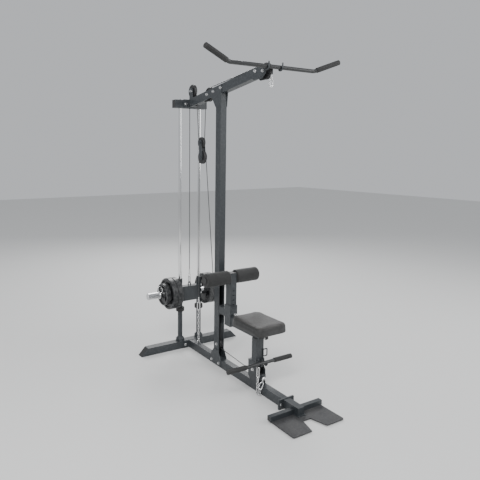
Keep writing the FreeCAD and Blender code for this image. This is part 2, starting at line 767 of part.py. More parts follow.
def block_plates():
    # Two strap plates with the axles of the wheels riveted through them
    x0 = pulley_half_width + 1.5
    x1 = x0 + plate_wall
    strap = 21.0
    low = Vector(0, *block_lower)
    high = Vector(0, *block_upper)
    side = (high - low).cross(Vector(1, 0, 0)).normalize() * strap
    corners = [low + side, high + side, high - side, low - side]
    straight = side_plate([(c.y, c.z) for c in corners], x0, x1)
    body = fuse([straight, rod_along((x0, *block_upper), (x1, *block_upper), strap),
                 rod_along((x0, *block_lower), (x1, *block_lower), strap)])
    axles = []
    for y, z in (block_lower, block_upper):
        axles.append(rod_along((-x1, y, z), (x1, y, z), axle_radius))
        axles.append(rod_along((-x1 - 5, y, z), (-x1, y, z), bolt_head_radius))
        axles.append(rod_along((x1, y, z), (x1 + 5, y, z), bolt_head_radius))
    return fuse(both_sides(body) + axles)


def on_circle(circle, degrees):
    # circle is (y, z, radius)
    angle = math.radians(degrees)
    return Vector(0, circle[0] + circle[2] * math.cos(angle), circle[1] + circle[2] * math.sin(angle))


def arc(circle, start, end):
    return Part.Arc(on_circle(circle, start), on_circle(circle, (start + end) / 2),
                    on_circle(circle, end)).toShape()


def line(a, b):
    return Part.LineSegment(a, b).toShape()


def leave_angles(first, second, crossed):
    # Angles at which a cable leaves one circle and meets the next; the other side has the opposite sign
    gap = math.hypot(second[0] - first[0], second[1] - first[1])
    heading = math.degrees(math.atan2(second[1] - first[1], second[0] - first[0]))
    reach = first[2] + second[2] if crossed else first[2] - second[2]
    return heading, math.degrees(math.acos(reach / gap))


front_wheel = (*front_axle, wrap_radius)
boom_wheel = (*boom_axle, wrap_radius)
rear_wheel = (*rear_axle, wrap_radius)
upper_wheel = (*block_upper, upper_block_wrap)
lower_wheel = (*block_lower, wrap_radius)
upright_wheel = (*upright_axle, small_wrap_radius)
row_wheel = (*row_axle, low_wrap_radius)


def high_cable():
    # Front wheel, over the boom, down and under the block's upper wheel, up and over the rear wheel
    heading, open_angle = leave_angles(front_wheel, boom_wheel, False)
    over = heading + open_angle
    heading, open_angle = leave_angles(boom_wheel, upper_wheel, True)
    drop = heading + open_angle
    heading, open_angle = leave_angles(upper_wheel, rear_wheel, True)
    rise = heading - open_angle
    edges = [
        line(on_circle(front_wheel, 180) - Vector(0, 0, cable_tail), on_circle(front_wheel, 180)),
        arc(front_wheel, 180, over),
        line(on_circle(front_wheel, over), on_circle(boom_wheel, over)),
        arc(boom_wheel, over, drop),
        line(on_circle(boom_wheel, drop), on_circle(upper_wheel, drop + 180)),
        arc(upper_wheel, drop + 180, rise + 360),
        line(on_circle(upper_wheel, rise), on_circle(rear_wheel, rise + 180)),
        arc(rear_wheel, rise + 180, 0),
    ]
    return pipe(Part.Wire(edges), cable_radius)


def low_cable():
    # Up from the anchor, over the block's lower wheel, down to the upright's foot, out to the row wheel
    heading, open_angle = leave_angles(lower_wheel, upright_wheel, True)
    down = heading - open_angle
    heading, open_angle = leave_angles(upright_wheel, row_wheel, False)
    out = heading + open_angle
    heading, open_angle = leave_angles(row_wheel, upright_wheel, False)
    edges = [
        line(Vector(0, anchor_y, anchor_cable_z), on_circle(lower_wheel, 0)),
        arc(lower_wheel, 0, down + 360),
        line(on_circle(lower_wheel, down), on_circle(upright_wheel, down + 180)),
        arc(upright_wheel, down + 540, out + 360),
        line(on_circle(upright_wheel, out), on_circle(row_wheel, out)),
        arc(row_wheel, out + 360, 270),
        line(on_circle(row_wheel, 270), Vector(0, ball_y + ball_radius, row_cable_z)),
    ]
    return pipe(Part.Wire(edges), cable_radius)


def carriage_cable():
    low = carriage_eye_z + hook_stack
    return Part.makeCylinder(cable_radius, rear_axle_z - low, Vector(0, rod_y, low))


def chain_run(start, end, outward, count):
    # Links that hang in each other, from tip to tip; `outward` is square to the first link's plane
    a = Vector(*start)
    b = Vector(*end)
    share = link_wire * 2 + link_play
    length = ((b - a).Length + (count - 1) * share) / count
    along = (b - a).normalize()
    across = Vector(*outward)
    links = []
    for i in range(count):
        first = a + along * (i * (length - share) + link_half)
        last = first + along * (length - 2 * link_half)
        links.append(oval_ring(first, last, across, link_half, link_wire))
        across = along.cross(across)
    return links


def snap_hook(start, end, outward):
    # Closed spring hook from tip to tip of its centre line
    a = Vector(*start)
    b = Vector(*end)
    along = (b - a).normalize()
    return oval_ring(a + along * snap_half, b - along * snap_half, outward, snap_half, snap_wire)


def thimble(x, y, low_z, high_z, outward):
    return oval_ring((x, y, low_z + thimble_half), (x, y, high_z - thimble_half), outward,
                     thimble_half, thimble_wire)


def ferrule(y, z0, z1):
    return Part.makeCylinder(ferrule_radius, z1 - z0, Vector(0, y, z0))


def anchor_chain():
    # Hook and chain that hold the low cable's end down to an eye on the base
    hook_top = anchor_cable_z - 42
    hook_low = hook_top - 66
    eye_z = base_top_z + 26
    eye = bent_rod([(-10, anchor_y, base_top_z), (-10, anchor_y, eye_z), (10, anchor_y, eye_z),
                    (10, anchor_y, base_top_z)], [9, 9], eye_wire)
    chain = chain_run((0, anchor_y, hook_low + hook_inset),
                      (0, anchor_y, eye_z - eye_wire - link_wire - link_play), (1, 0, 0), 13)
    sleeve_low = anchor_cable_z - 16
    ring = thimble(0, anchor_y, hook_top - thimble_inset, sleeve_low + 1, (1, 0, 0))
    end = fuse([ferrule(anchor_y, sleeve_low, anchor_cable_z), ring])
    return [eye, end, snap_hook((0, anchor_y, hook_low), (0, anchor_y, hook_top), (0, 1, 0))] + chain


# ---- Row bar, its chain and the cable's ball ----

def row_bar():
    rod = rod_along((row_bar_x - row_bar_half, row_bar_y, row_bar_z),
                    (row_bar_x + row_bar_half, row_bar_y, row_bar_z), row_bar_radius)
    top = Vector(row_hook_x, row_bar_y, row_bar_z - row_bar_radius)
    low = Vector(row_hook_x, row_bar_y, row_bar_z - row_eye_drop + thimble_half)
    return fuse([rod, oval_ring(top, low, (0, 1, 0), thimble_half, thimble_wire)])


def row_bar_grips():
    grips = []
    for sign in (-1, 1):
        x1 = row_bar_x + sign * (row_bar_half + 3)
        x0 = x1 - sign * row_grip_length
        grip = rod_along((x0, row_bar_y, row_bar_z), (x1, row_bar_y, row_bar_z), row_grip_radius)
        grip = grip.makeFillet(3, [e for e in grip.Edges if e.BoundBox.XLength < 0.1])
        grips.append(grip.cut(rod_along((x0, row_bar_y, row_bar_z),
                                        (x1 - sign * 3, row_bar_y, row_bar_z), row_bar_radius)))
    return grips


def row_bar_hook():
    high = row_bar_z - row_eye_drop + thimble_inset
    return snap_hook((row_hook_x, row_bar_y, high), (row_hook_x, row_bar_y, row_hook_low_z), (1, 0, 0))


def row_chain():
    # The links that rise with the row bar
    low = (chain_low_x, chain_low_y[0], chain_low_z - link_share)
    return chain_run((row_hook_x, row_bar_y, row_hook_low_z + hook_inset), low, (0, 1, 0), 6)


def row_cable_end():
    # Ball stop on the cable, its eye, a spring hook and the rest of the chain, one link of it flat
    ball = Part.makeSphere(ball_radius, Vector(0, ball_y, row_cable_z))
    ball = ball.cut(rod_along((0, ball_y, row_cable_z), (0, ball_y + 30, row_cable_z), cable_radius))
    along = Vector(*row_hook_drop).normalize()
    level = along.cross(Vector(0, 0, 1)).normalize()
    eye_half = thimble_half + 0.5
    centre = Vector(0, ball_y, row_cable_z)
    near = ball_radius - 1 + eye_half
    far = near + 6
    eye = oval_ring(centre + along * near, centre + along * far, level, eye_half, thimble_wire)
    hook_top = centre + along * (far + eye_half - thimble_inset)
    hook_low = centre + Vector(*row_hook_drop)
    hook = snap_hook(hook_top, hook_low, level.cross(along))
    flat = oval_ring((chain_low_x, chain_low_y[0] - link_half, chain_low_z),
                     (chain_low_x, chain_low_y[1] + link_half, chain_low_z), (0, 0, 1), link_half, link_wire)
    rise_low = Vector(chain_low_x, chain_low_y[1], chain_low_z - link_share)
    rise_start = hook_low - (rise_low - hook_low).normalize() * hook_inset
    rise = chain_run(rise_start, rise_low, (level + Vector(0, 2, 0)).normalize(), 2)
    return [fuse([ball, eye]), hook, flat] + rise


# ---- Lat bar and its hook ----

def lat_bar():
    x, y, z = lat_tip
    return bent_rod([(-x, y, z), (-lat_bend_x, lat_bar_y, lat_bar_z), (lat_bend_x, lat_bar_y, lat_bar_z),
                     (x, y, z)], [lat_bend_radius, lat_bend_radius], bar_radius)


def lat_bar_grips():
    tip = Vector(*lat_tip)
    bend = Vector(lat_bend_x, lat_bar_y, lat_bar_z)
    along = (tip - bend).normalize()
    start = bend + along * 20
    end = tip + along * 3
    grip = rod_along(start, end, grip_radius)
    ends = [e for e in grip.Edges if e.isClosed() and e.Length > 90 and e.Length < 120]
    grip = grip.makeFillet(3, ends)
    return both_sides(grip.cut(rod_along(start, tip, bar_radius)))


def lat_snap_hook():
    y = front_axle[0] - wrap_radius
    top = front_axle[1] - cable_tail
    sleeve_low = top - 12
    ring_low = sleeve_low - 18
    hook_top = ring_low + thimble_inset
    end = fuse([ferrule(y, sleeve_low, top), thimble(0, y, ring_low, sleeve_low + 1, (1, 0, 0))])
    return [end, snap_hook((0, y, hook_top), (0, y, hook_top - 50), (0, 1, 0))]


# ---- Carriage ----

def carriage_frame():
    z0 = bumper_top_z + bushing_rim + soft_gap
    z1 = z0 + carriage_height - 2 * bushing_rim
    tubes = [Part.makeCylinder(stand_radius, z1 - z0, Vector(x, rod_y, z0)) for x in (-rod_x, rod_x)]
    y0 = rod_y - carriage_beam_depth / 2
    y1 = rod_y + carriage_beam_depth / 2
    beam = hollow_box(-rod_x, rod_x, y0, y1, carriage_beam_z[0], carriage_beam_z[1], "x")
    ribs = [box(-rod_x - 4, rod_x + 4, y0, y1, z - 3, z) for z in (carriage_beam_z[0] + 3, carriage_beam_z[1])]
    bores = [Part.makeCylinder(liner_radius, 600, Vector(x, rod_y, z0 - 1)) for x in (-rod_x, rod_x)]
    eye = bent_rod([(-11, rod_y, carriage_beam_z[1] - 2), (-11, rod_y, carriage_eye_z),
                    (11, rod_y, carriage_eye_z), (11, rod_y, carriage_beam_z[1] - 2)], [10, 10], eye_wire)
    return cut(fuse(tubes + [beam] + ribs + [eye]), bores)


def carriage_bushings():
    z0 = bumper_top_z + soft_gap
    z1 = z0 + carriage_height
    rings = []
    for x in (-rod_x, rod_x):
        for low, rim in ((z0, z0), (z1 - bushing_length, z1 - bushing_rim)):
            ring = Part.makeCylinder(liner_radius, bushing_length, Vector(x, rod_y, low))
            lip = Part.makeCylinder(stand_radius + 2, bushing_rim, Vector(x, rod_y, rim))
            bore = Part.makeCylinder(rod_radius + running_gap, bushing_length, Vector(x, rod_y, low))
            rings.append(fuse([ring, lip]).cut(bore))
    return rings


def weight_sleeves():
    x_stop = plate_start_x - plate_gap
    y, z = rod_y, sleeve_z
    tube = rod_along((rod_x + 4, y, z), (sleeve_end_x, y, z), sleeve_radius)
    edges = [e for e in tube.Edges if e.BoundBox.XLength < 0.1 and e.BoundBox.XMin > sleeve_end_x - 1]
    tube = tube.makeFillet(3, edges)
    stop = rod_along((x_stop - stop_wall, y, z), (x_stop, y, z), stop_radius)
    groove_ends = [(x, y, z) for x in sleeve_groove_x]
    groove = rod_along(*groove_ends, sleeve_radius + 1).cut(rod_along(*groove_ends, sleeve_radius - sleeve_groove_depth))
    stand = Part.makeCylinder(stand_radius, 600, Vector(rod_x, rod_y, 200))
    return both_sides(cut(fuse([tube, stop]), [groove, stand]))


def carriage_hook():
    eye_low = carriage_eye_z - eye_wire - snap_wire - link_play
    hook_top = eye_low + 62
    hook = snap_hook((0, rod_y, eye_low), (0, rod_y, hook_top), (1, 0, 0))
    sleeve_low = hook_top + 18
    ring = thimble(0, rod_y, hook_top - thimble_inset, sleeve_low + 1, (0, 1, 0))
    return [hook, fuse([ferrule(rod_y, sleeve_low, carriage_eye_z + hook_stack), ring])]


def weight_plate(x0, radius, width, sign):
    # Hub and rim at full width, thinner web with three grip slots
    bore = sleeve_radius + plate_bore_gap
    hub = 0.36 * radius
    rim = radius - 0.13 * radius
    sink = 0.22 * width
    edge = 4.0
    profile = [(bore, 0), (hub, 0), (hub + 4, sink), (rim - 4, sink), (rim, 0), (radius - edge, 0),
               (radius, edge), (radius, width - edge), (radius - edge, width), (rim, width),
               (rim - 4, width - sink), (hub + 4, width - sink), (hub, width), (bore, width)]
    corners = [Vector(x0 + x, rod_y + r, sleeve_z) for r, x in profile]
    disc = Part.Face(Part.makePolygon(corners + [corners[0]])).revolve(Vector(0, rod_y, sleeve_z),
                                                                       Vector(1, 0, 0), 360)
    middle = (hub + rim) / 2
    half_slot = (rim - hub) * 0.26
    slots = []
    for i in range(3):
        turned = []
        for swing in (-14, 14):
            angle = math.radians(90 + 120 * i + swing)
            turned.append(Vector(0, rod_y + middle * math.cos(angle), sleeve_z + middle * math.sin(angle)))
        ends = [Part.makeCylinder(half_slot, width, c + Vector(x0, 0, 0), Vector(1, 0, 0)) for c in turned]
        side = (turned[1] - turned[0]).cross(Vector(1, 0, 0)).normalize() * half_slot
        box_corners = [turned[0] + side, turned[1] + side, turned[1] - side, turned[0] - side]
        slots += ends + [side_plate([(c.y, c.z) for c in box_corners], x0, x0 + width)]
    plate = cut(disc, slots)
    return plate if sign > 0 else mirrored(plate)


def spring_collar(x0, sign):
    # Flat-wound clamp with two squeeze handles
    inner = sleeve_radius + 0.3
    ring = rod_along((x0, rod_y, sleeve_z), (x0 + 24, rod_y, sleeve_z), inner + 5)
    ring = ring.cut(rod_along((x0, rod_y, sleeve_z), (x0 + 24, rod_y, sleeve_z), inner))
    handles = [
        bent_rod([(x0 + 5, rod_y - 14, sleeve_z + 24), (x0 + 5, rod_y - 26, sleeve_z + 58),
                  (x0 + 22, rod_y - 26, sleeve_z + 60)], [5], 3.5),
        bent_rod([(x0 + 19, rod_y + 14, sleeve_z + 24), (x0 + 19, rod_y + 26, sleeve_z + 58),
                  (x0 + 2, rod_y + 26, sleeve_z + 60)], [5], 3.5),
    ]
    bore = rod_along((x0, rod_y, sleeve_z), (x0 + 24, rod_y, sleeve_z), inner)
    collar = fuse([ring] + handles).cut(bore)
    return collar if sign > 0 else mirrored(collar)


# ---- Fasteners ----

def cross_bolt(y, z, x_face):
    return hex_bolt((-x_face, y, z), (1, 0, 0), 2 * x_face)


def frame_bolts():
    face = half + plate_wall
    bolts = [cross_bolt(y, z, face) for y, z in boom_bolts]
    bolts += [cross_bolt(y, z, face) for y, z in foot_bolts]
    y0 = crossbar_front_y - flange_wall
    bolts += [hex_bolt((x, y0, crossbar_z + 30), (0, 1, 0), flange_wall + crossbar_depth) for x in (-52, 52)]
    y0 = stabilizer_front_y - flange_wall
    bolts += [hex_bolt((x, y0, flange_bolt_z), (0, 1, 0), flange_wall + stabilizer_depth) for x in flange_bolt_x]
    y0 = base_front_y - flange_wall
    bolts += [hex_bolt((x, y0, 34), (0, 1, 0), 2 * flange_wall) for x in (-front_bolt_x, front_bolt_x)]
    return bolts + rod_screws() + foot_screws()


def rod_screws():
    # Cap screws that go down through the crossbar into the guide rods
    top = crossbar_z + crossbar_height
    return [hex_bolt((x, rod_y, top), (0, 0, -1), crossbar_height + 28, False) for x in (-rod_x, rod_x)]


def foot_screws():
    # Short screws up through the foot plate into its crossbar
    grip = foot_plate_wall + tube_wall
    screws = []
    for x in foot_plate_bolt_x:
        head = Part.makeCylinder(7.5, 3.5, Vector(x, foot_bar_y, foot_plate_z - 3.5))
        shank = Part.makeCylinder(bolt_radius, grip + 8, Vector(x, foot_bar_y, foot_plate_z - 1))
        screws.append(fuse([head, shank]))
    return screws


def wheel_axle(y, z, x_face, x_inner):
    # Bolt through both cheeks, with a spacer tube each side of the wheel
    spacers = []
    for sign in (-1, 1):
        a = (sign * (pulley_half_width + 0.4), y, z)
        b = (sign * (x_inner - 0.1), y, z)
        spacers.append(rod_along(a, b, 9))
    return fuse([hex_bolt((-x_face, y, z), (1, 0, 0), 2 * x_face)] + spacers)


def pulley_axles():
    post_half = seat_post_width / 2
    bracket = pulley_half_width + 4
    inside = half - tube_wall
    return [
        wheel_axle(*front_axle, half + plate_wall, half),
        wheel_axle(*boom_axle, half, inside),
        wheel_axle(*rear_axle, bracket + plate_wall, bracket),
        wheel_axle(*upright_axle, half, inside),
        wheel_axle(*row_axle, post_half, post_half - plate_wall),
    ]


large = (large_plate_radius, large_plate_width)
small = (small_plate_radius, small_plate_width)
outer_plate_x = plate_start_x + large_plate_width + plate_gap
small_plate_x = outer_plate_x + large_plate_width + plate_gap
collar_x = small_plate_x + small_plate_width + plate_gap

write("rear_stabilizer", rear_stabilizer())
write("base_tube", base_tube())
write("foot_frame", foot_frame())
write("foot_plate", foot_plate())
write("upright", upright())
write("boom", boom())
write("joint_plates", joint_plates())
write("top_crossbar", top_crossbar())
write("end_caps_and_feet", tube_end_caps() + foot_rubbers())
write("front_pulley_bracket", front_pulley_bracket())
write("lat_bar_hooks", lat_bar_hooks())
write("rear_pulley_bracket", rear_pulley_bracket())
write("guide_rods", guide_rods())
write("rod_stands", rod_stands())
write("rod_bumpers", rod_bumpers())
write("seat_frame", [seat_frame(), seat_plate()])
write("seat_post", seat_post())
write("row_bar_rest", row_bar_rest())
write("seat_pad", seat_pad())
write("pin_housings", pin_housings())
write("frame_bolts", frame_bolts())
write("pulley_axles", pulley_axles())
write("block_plates", block_plates())
write("high_cable", high_cable())
write("low_cable", low_cable())
write("anchor_chain", anchor_chain())
write("row_cable_end", row_cable_end())
write("front_pulley", pulley(*front_axle, pulley_radius))
write("boom_pulley", pulley(*boom_axle, pulley_radius))
write("rear_pulley", pulley(*rear_axle, pulley_radius))
write("block_upper_pulley", pulley(*block_upper, upper_block_radius))
write("block_lower_pulley", pulley(*block_lower, pulley_radius))
write("upright_pulley", pulley(*upright_axle, small_pulley_radius))
write("row_pulley", pulley(*row_axle, low_pulley_radius))
write("thigh_post", thigh_post())
write("thigh_post_caps", [thigh_post_cap()] + roller_end_caps())
write("left_foam_roller", foam_roller(-1))
write("right_foam_roller", foam_roller(1))
write("thigh_pull_pin", thigh_pull_pin())
write("seat_lock_pin", seat_lock_pin())
write("lat_bar", lat_bar())
write("lat_bar_grips", lat_bar_grips())
write("lat_snap_hook", lat_snap_hook())
write("row_bar", row_bar())
write("row_bar_grips", row_bar_grips())
write("row_bar_hook", row_bar_hook())
write("row_chain", row_chain())
write("carriage_frame", carriage_frame())
write("carriage_bushings", carriage_bushings())
write("weight_sleeves", weight_sleeves())
write("carriage_hook", carriage_hook())
write("carriage_cable", carriage_cable())
for side, sign in (("left", -1), ("right", 1)):
    write(side + "_inner_plate", weight_plate(plate_start_x, *large, sign))
    write(side + "_outer_plate", weight_plate(outer_plate_x, *large, sign))
    write(side + "_small_plate", weight_plate(small_plate_x, *small, sign))
    write(side + "_collar", spring_collar(collar_x, sign))
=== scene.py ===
import bpy
import math
from mathutils import Matrix, Vector


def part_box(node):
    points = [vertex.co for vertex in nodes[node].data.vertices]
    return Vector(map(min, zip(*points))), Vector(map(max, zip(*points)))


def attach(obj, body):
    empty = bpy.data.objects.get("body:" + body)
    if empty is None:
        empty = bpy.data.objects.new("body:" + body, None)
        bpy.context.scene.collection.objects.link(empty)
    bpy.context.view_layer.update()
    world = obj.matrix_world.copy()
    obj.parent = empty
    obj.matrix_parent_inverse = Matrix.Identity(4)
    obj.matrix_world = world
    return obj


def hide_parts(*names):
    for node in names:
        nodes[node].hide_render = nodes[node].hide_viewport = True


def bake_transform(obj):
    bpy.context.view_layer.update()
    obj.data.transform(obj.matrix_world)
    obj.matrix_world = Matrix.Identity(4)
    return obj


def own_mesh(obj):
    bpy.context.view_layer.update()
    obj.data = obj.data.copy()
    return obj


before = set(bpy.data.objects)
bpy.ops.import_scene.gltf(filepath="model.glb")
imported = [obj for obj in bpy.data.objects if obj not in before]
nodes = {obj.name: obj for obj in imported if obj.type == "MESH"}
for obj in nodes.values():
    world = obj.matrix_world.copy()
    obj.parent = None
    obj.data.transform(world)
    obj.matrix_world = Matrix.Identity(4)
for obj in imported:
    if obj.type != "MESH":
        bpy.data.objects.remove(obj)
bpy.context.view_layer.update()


def box(name):
    low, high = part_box(name)
    return Vector(low), Vector(high)


def middle(name):
    low, high = box(name)
    return (low + high) / 2


# Camera, floor and light

cameraSetup = {
    "place": (-1.9864, -2.8899, 1.5624), "tilt": 82.30, "turn": -30.11,
    "lens": 36.507, "shiftX": 0.1186, "shiftY": -0.0400,
}


def buildCamera():
    cam = bpy.data.cameras.new("viewCamera")
    cam.sensor_width = 36
    cam.lens = cameraSetup["lens"]
    cam.shift_x = cameraSetup["shiftX"]
    cam.shift_y = cameraSetup["shiftY"]
    rig = bpy.data.objects.new("viewCamera", cam)
    rig.location = cameraSetup["place"]
    rig.rotation_euler = (math.radians(cameraSetup["tilt"]), 0, math.radians(cameraSetup["turn"]))
    bpy.context.scene.collection.objects.link(rig)
    bpy.context.scene.camera = rig


studioSetup = {
    "floorSize": 30.0, "floorColor": (0.74, 0.74, 0.73), "worldColor": (0.78, 0.80, 0.83), "worldPower": 0.72,
    "lamps": [
        # name, place, aim, size, power
        ("keyLamp", (-3.2, -3.0, 4.2), (0, -0.1, 0.9), 2.4, 230),
        ("fillLamp", (3.6, -2.6, 2.6), (0, 0, 1.0), 2.8, 80),
        ("rimLamp", (1.8, 3.6, 3.4), (0, 0.1, 1.1), 2.2, 120),
    ],
}


def buildStudio():
    bpy.ops.object.select_all(action="DESELECT")
    bpy.ops.mesh.primitive_plane_add(size=studioSetup["floorSize"], location=(0, 0, 0))
    floor = bpy.context.object
    floor.name = "studioFloor"
    mat = bpy.data.materials.new("floorPaper")
    mat.use_nodes = True
    shader = mat.node_tree.nodes["Principled BSDF"]
    shader.inputs["Base Color"].default_value = (*studioSetup["floorColor"], 1)
    shader.inputs["Roughness"].default_value = 0.85
    floor.data.materials.append(mat)
    world = bpy.data.worlds.new("studioWorld")
    world.use_nodes = True
    background = world.node_tree.nodes["Background"]
    background.inputs["Color"].default_value = (*studioSetup["worldColor"], 1)
    background.inputs["Strength"].default_value = studioSetup["worldPower"]
    bpy.context.scene.world = world
    for name, place, aim, size, power in studioSetup["lamps"]:
        lamp = bpy.data.lights.new(name, "AREA")
        lamp.size = size
        lamp.energy = power
        holder = bpy.data.objects.new(name, lamp)
        holder.location = place
        holder.rotation_euler = (Vector(aim) - Vector(place)).to_track_quat("-Z", "Y").to_euler()
        bpy.context.scene.collection.objects.link(holder)


buildCamera()
buildStudio()
print("camera and studio ready")


# Effects shared by the materials

def newGroup(name, inputs, outputs):
    group = bpy.data.node_groups.new(name, "ShaderNodeTree")
    for label, value in inputs:
        socket = group.interface.new_socket(name=label, in_out="INPUT", socket_type="NodeSocketFloat")
        socket.default_value = value
    for label, kind in outputs:
        group.interface.new_socket(name=label, in_out="OUTPUT", socket_type=kind)
    start = group.nodes.new("NodeGroupInput")
    end = group.nodes.new("NodeGroupOutput")
    return group, start, end


def mathNode(tree, operation, first, second=None):
    node = tree.nodes.new("ShaderNodeMath")
    node.operation = operation
    for i, value in enumerate((first, second)):
        if value is None:
            continue
        if isinstance(value, (int, float)):
            node.inputs[i].default_value = value
        else:
            tree.links.new(value, node.inputs[i])
    return node.outputs[0]


def noiseNode(tree, vector, scale, detail=3.0, rough=0.55):
    node = tree.nodes.new("ShaderNodeTexNoise")
    node.inputs["Detail"].default_value = detail
    node.inputs["Roughness"].default_value = rough
    if isinstance(scale, (int, float)):
        node.inputs["Scale"].default_value = scale
    else:
        tree.links.new(scale, node.inputs["Scale"])
    if vector is not None:
        tree.links.new(vector, node.inputs["Vector"])
    return node.outputs["Fac"]


def rangeNode(tree, value, low, high, toLow=0.0, toHigh=1.0):
    node = tree.nodes.new("ShaderNodeMapRange")
    node.inputs["From Min"].default_value = low
    node.inputs["From Max"].default_value = high
    node.inputs["To Min"].default_value = toLow
    node.inputs["To Max"].default_value = toHigh
    tree.links.new(value, node.inputs["Value"])
    return node.outputs["Result"]


def objectCoords(tree):
    return tree.nodes.new("ShaderNodeTexCoord").outputs["Object"]


def buildWearGroup():
    # Bare or polished edges: sharp outward edges broken up by noise
    group, start, end = newGroup("edgeWear", [("Amount", 0.5), ("Breakup", 60.0)],
                                 [("Mask", "NodeSocketFloat")])
    coords = objectCoords(group)
    sharp = rangeNode(group, group.nodes.new("ShaderNodeNewGeometry").outputs["Pointiness"], 0.515, 0.60)
    broken = rangeNode(group, noiseNode(group, coords, start.outputs["Breakup"]), 0.42, 0.68)
    mask = mathNode(group, "MULTIPLY", mathNode(group, "MULTIPLY", sharp, broken), start.outputs["Amount"])
    group.links.new(mask, end.inputs["Mask"])
    return group


def buildDustGroup():
    # Fine dust that settles on faces that look up
    group, start, end = newGroup("settledDust", [("Amount", 0.2), ("Patch", 9.0)],
                                 [("Mask", "NodeSocketFloat")])
    coords = objectCoords(group)
    split = group.nodes.new("ShaderNodeSeparateXYZ")
    group.links.new(group.nodes.new("ShaderNodeNewGeometry").outputs["Normal"], split.inputs[0])
    upward = rangeNode(group, split.outputs["Z"], 0.35, 0.98)
    patch = rangeNode(group, noiseNode(group, coords, start.outputs["Patch"], 6.0), 0.35, 0.75)
    speck = rangeNode(group, noiseNode(group, coords, 900.0, 1.0), 0.45, 0.7, 0.5, 1.0)
    mask = mathNode(group, "MULTIPLY", mathNode(group, "MULTIPLY", upward, patch),
                    mathNode(group, "MULTIPLY", speck, start.outputs["Amount"]))
    group.links.new(mask, end.inputs["Mask"])
    return group


def buildPeelGroup():
    # Powder coat skin: soft orange peel with a finer grain on top
    group, start, end = newGroup("powderPeel", [("Scale", 420.0), ("Grain", 0.35)],
                                 [("Height", "NodeSocketFloat")])
    coords = objectCoords(group)
    peel = noiseNode(group, coords, start.outputs["Scale"], 1.0)
    grain = noiseNode(group, coords, mathNode(group, "MULTIPLY", start.outputs["Scale"], 3.2), 2.0)
    height = mathNode(group, "ADD", peel, mathNode(group, "MULTIPLY", grain, start.outputs["Grain"]))
    group.links.new(height, end.inputs["Height"])
    return group


def buildToneGroup():
    # Slow drift of tone and gloss over a surface, with faint smudges
    group, start, end = newGroup("toneDrift", [("Scale", 6.0), ("Smudge", 0.5)],
                                 [("Tone", "NodeSocketFloat"), ("Gloss", "NodeSocketFloat")])
    coords = objectCoords(group)
    slow = noiseNode(group, coords, start.outputs["Scale"], 4.0)
    group.links.new(rangeNode(group, slow, 0.3, 0.7), end.inputs["Tone"])
    smear = noiseNode(group, coords, mathNode(group, "MULTIPLY", start.outputs["Scale"], 7.0), 5.0, 0.7)
    gloss = mathNode(group, "MULTIPLY", rangeNode(group, smear, 0.45, 0.75), start.outputs["Smudge"])
    group.links.new(gloss, end.inputs["Gloss"])
    return group


def buildLeatherGroup():
    # Pebbled vinyl: cells with soft creases between them; the same relief darkens the creases as painted shade in
    # the seat vinyl
    group, start, end = newGroup("vinylPebble", [("Scale", 520.0)], [("Height", "NodeSocketFloat")])
    coords = objectCoords(group)
    warp = group.nodes.new("ShaderNodeVectorMath")
    warp.operation = "MULTIPLY_ADD"
    drift = group.nodes.new("ShaderNodeTexNoise")
    drift.inputs["Scale"].default_value = 140.0
    group.links.new(coords, drift.inputs["Vector"])
    group.links.new(drift.outputs["Color"], warp.inputs[0])
    warp.inputs[1].default_value = (0.0035, 0.0035, 0.0035)
    group.links.new(coords, warp.inputs[2])
    cells = group.nodes.new("ShaderNodeTexVoronoi")
    cells.feature = "DISTANCE_TO_EDGE"
    group.links.new(start.outputs["Scale"], cells.inputs["Scale"])
    group.links.new(warp.outputs[0], cells.inputs["Vector"])
    creaseShade = rangeNode(group, cells.outputs["Distance"], 0.0, 0.22)
    fine = noiseNode(group, coords, 1600.0, 2.0)
    height = mathNode(group, "ADD", creaseShade, mathNode(group, "MULTIPLY", fine, 0.25))
    group.links.new(height, end.inputs["Height"])
    return group


def buildScratchGroup():
    # Hairlines that run along one axis, as on drawn or turned steel
    group, start, end = newGroup("hairlines", [("Along X", 1.0), ("Along Y", 1.0), ("Along Z", 1.0)],
                                 [("Height", "NodeSocketFloat")])
    stretch = group.nodes.new("ShaderNodeCombineXYZ")
    for i, label in enumerate(("Along X", "Along Y", "Along Z")):
        group.links.new(start.outputs[label], stretch.inputs[i])
    scaled = group.nodes.new("ShaderNodeVectorMath")
    scaled.operation = "MULTIPLY"
    group.links.new(objectCoords(group), scaled.inputs[0])
    group.links.new(stretch.outputs[0], scaled.inputs[1])
    group.links.new(noiseNode(group, scaled.outputs[0], 14.0, 4.0, 0.6), end.inputs["Height"])
    return group


groups = {
    "wear": buildWearGroup(), "dust": buildDustGroup(), "peel": buildPeelGroup(),
    "tone": buildToneGroup(), "leather": buildLeatherGroup(), "hairline": buildScratchGroup(),
}
print("node groups ready")


# Materials

def useGroup(tree, key, **values):
    node = tree.nodes.new("ShaderNodeGroup")
    node.node_tree = groups[key]
    for label, value in values.items():
        node.inputs[label.replace("_", " ")].default_value = value
    return node


def mixColor(tree, factor, first, second):
    node = tree.nodes.new("ShaderNodeMix")
    node.data_type = "RGBA"
    tree.links.new(factor, node.inputs["Factor"])
    for socket, value in ((node.inputs["A"], first), (node.inputs["B"], second)):
        if isinstance(value, tuple):
            socket.default_value = (*value, 1)
        else:
            tree.links.new(value, socket)
    return node.outputs["Result"]


def bumpNode(tree, height, strength, distance):
    node = tree.nodes.new("ShaderNodeBump")
    node.inputs["Strength"].default_value = strength
    node.inputs["Distance"].default_value = distance
    tree.links.new(height, node.inputs["Height"])
    return node.outputs["Normal"]


def newMaterial(name):
    mat = bpy.data.materials.new(name)
    mat.use_nodes = True
    return mat, mat.node_tree, mat.node_tree.nodes["Principled BSDF"]


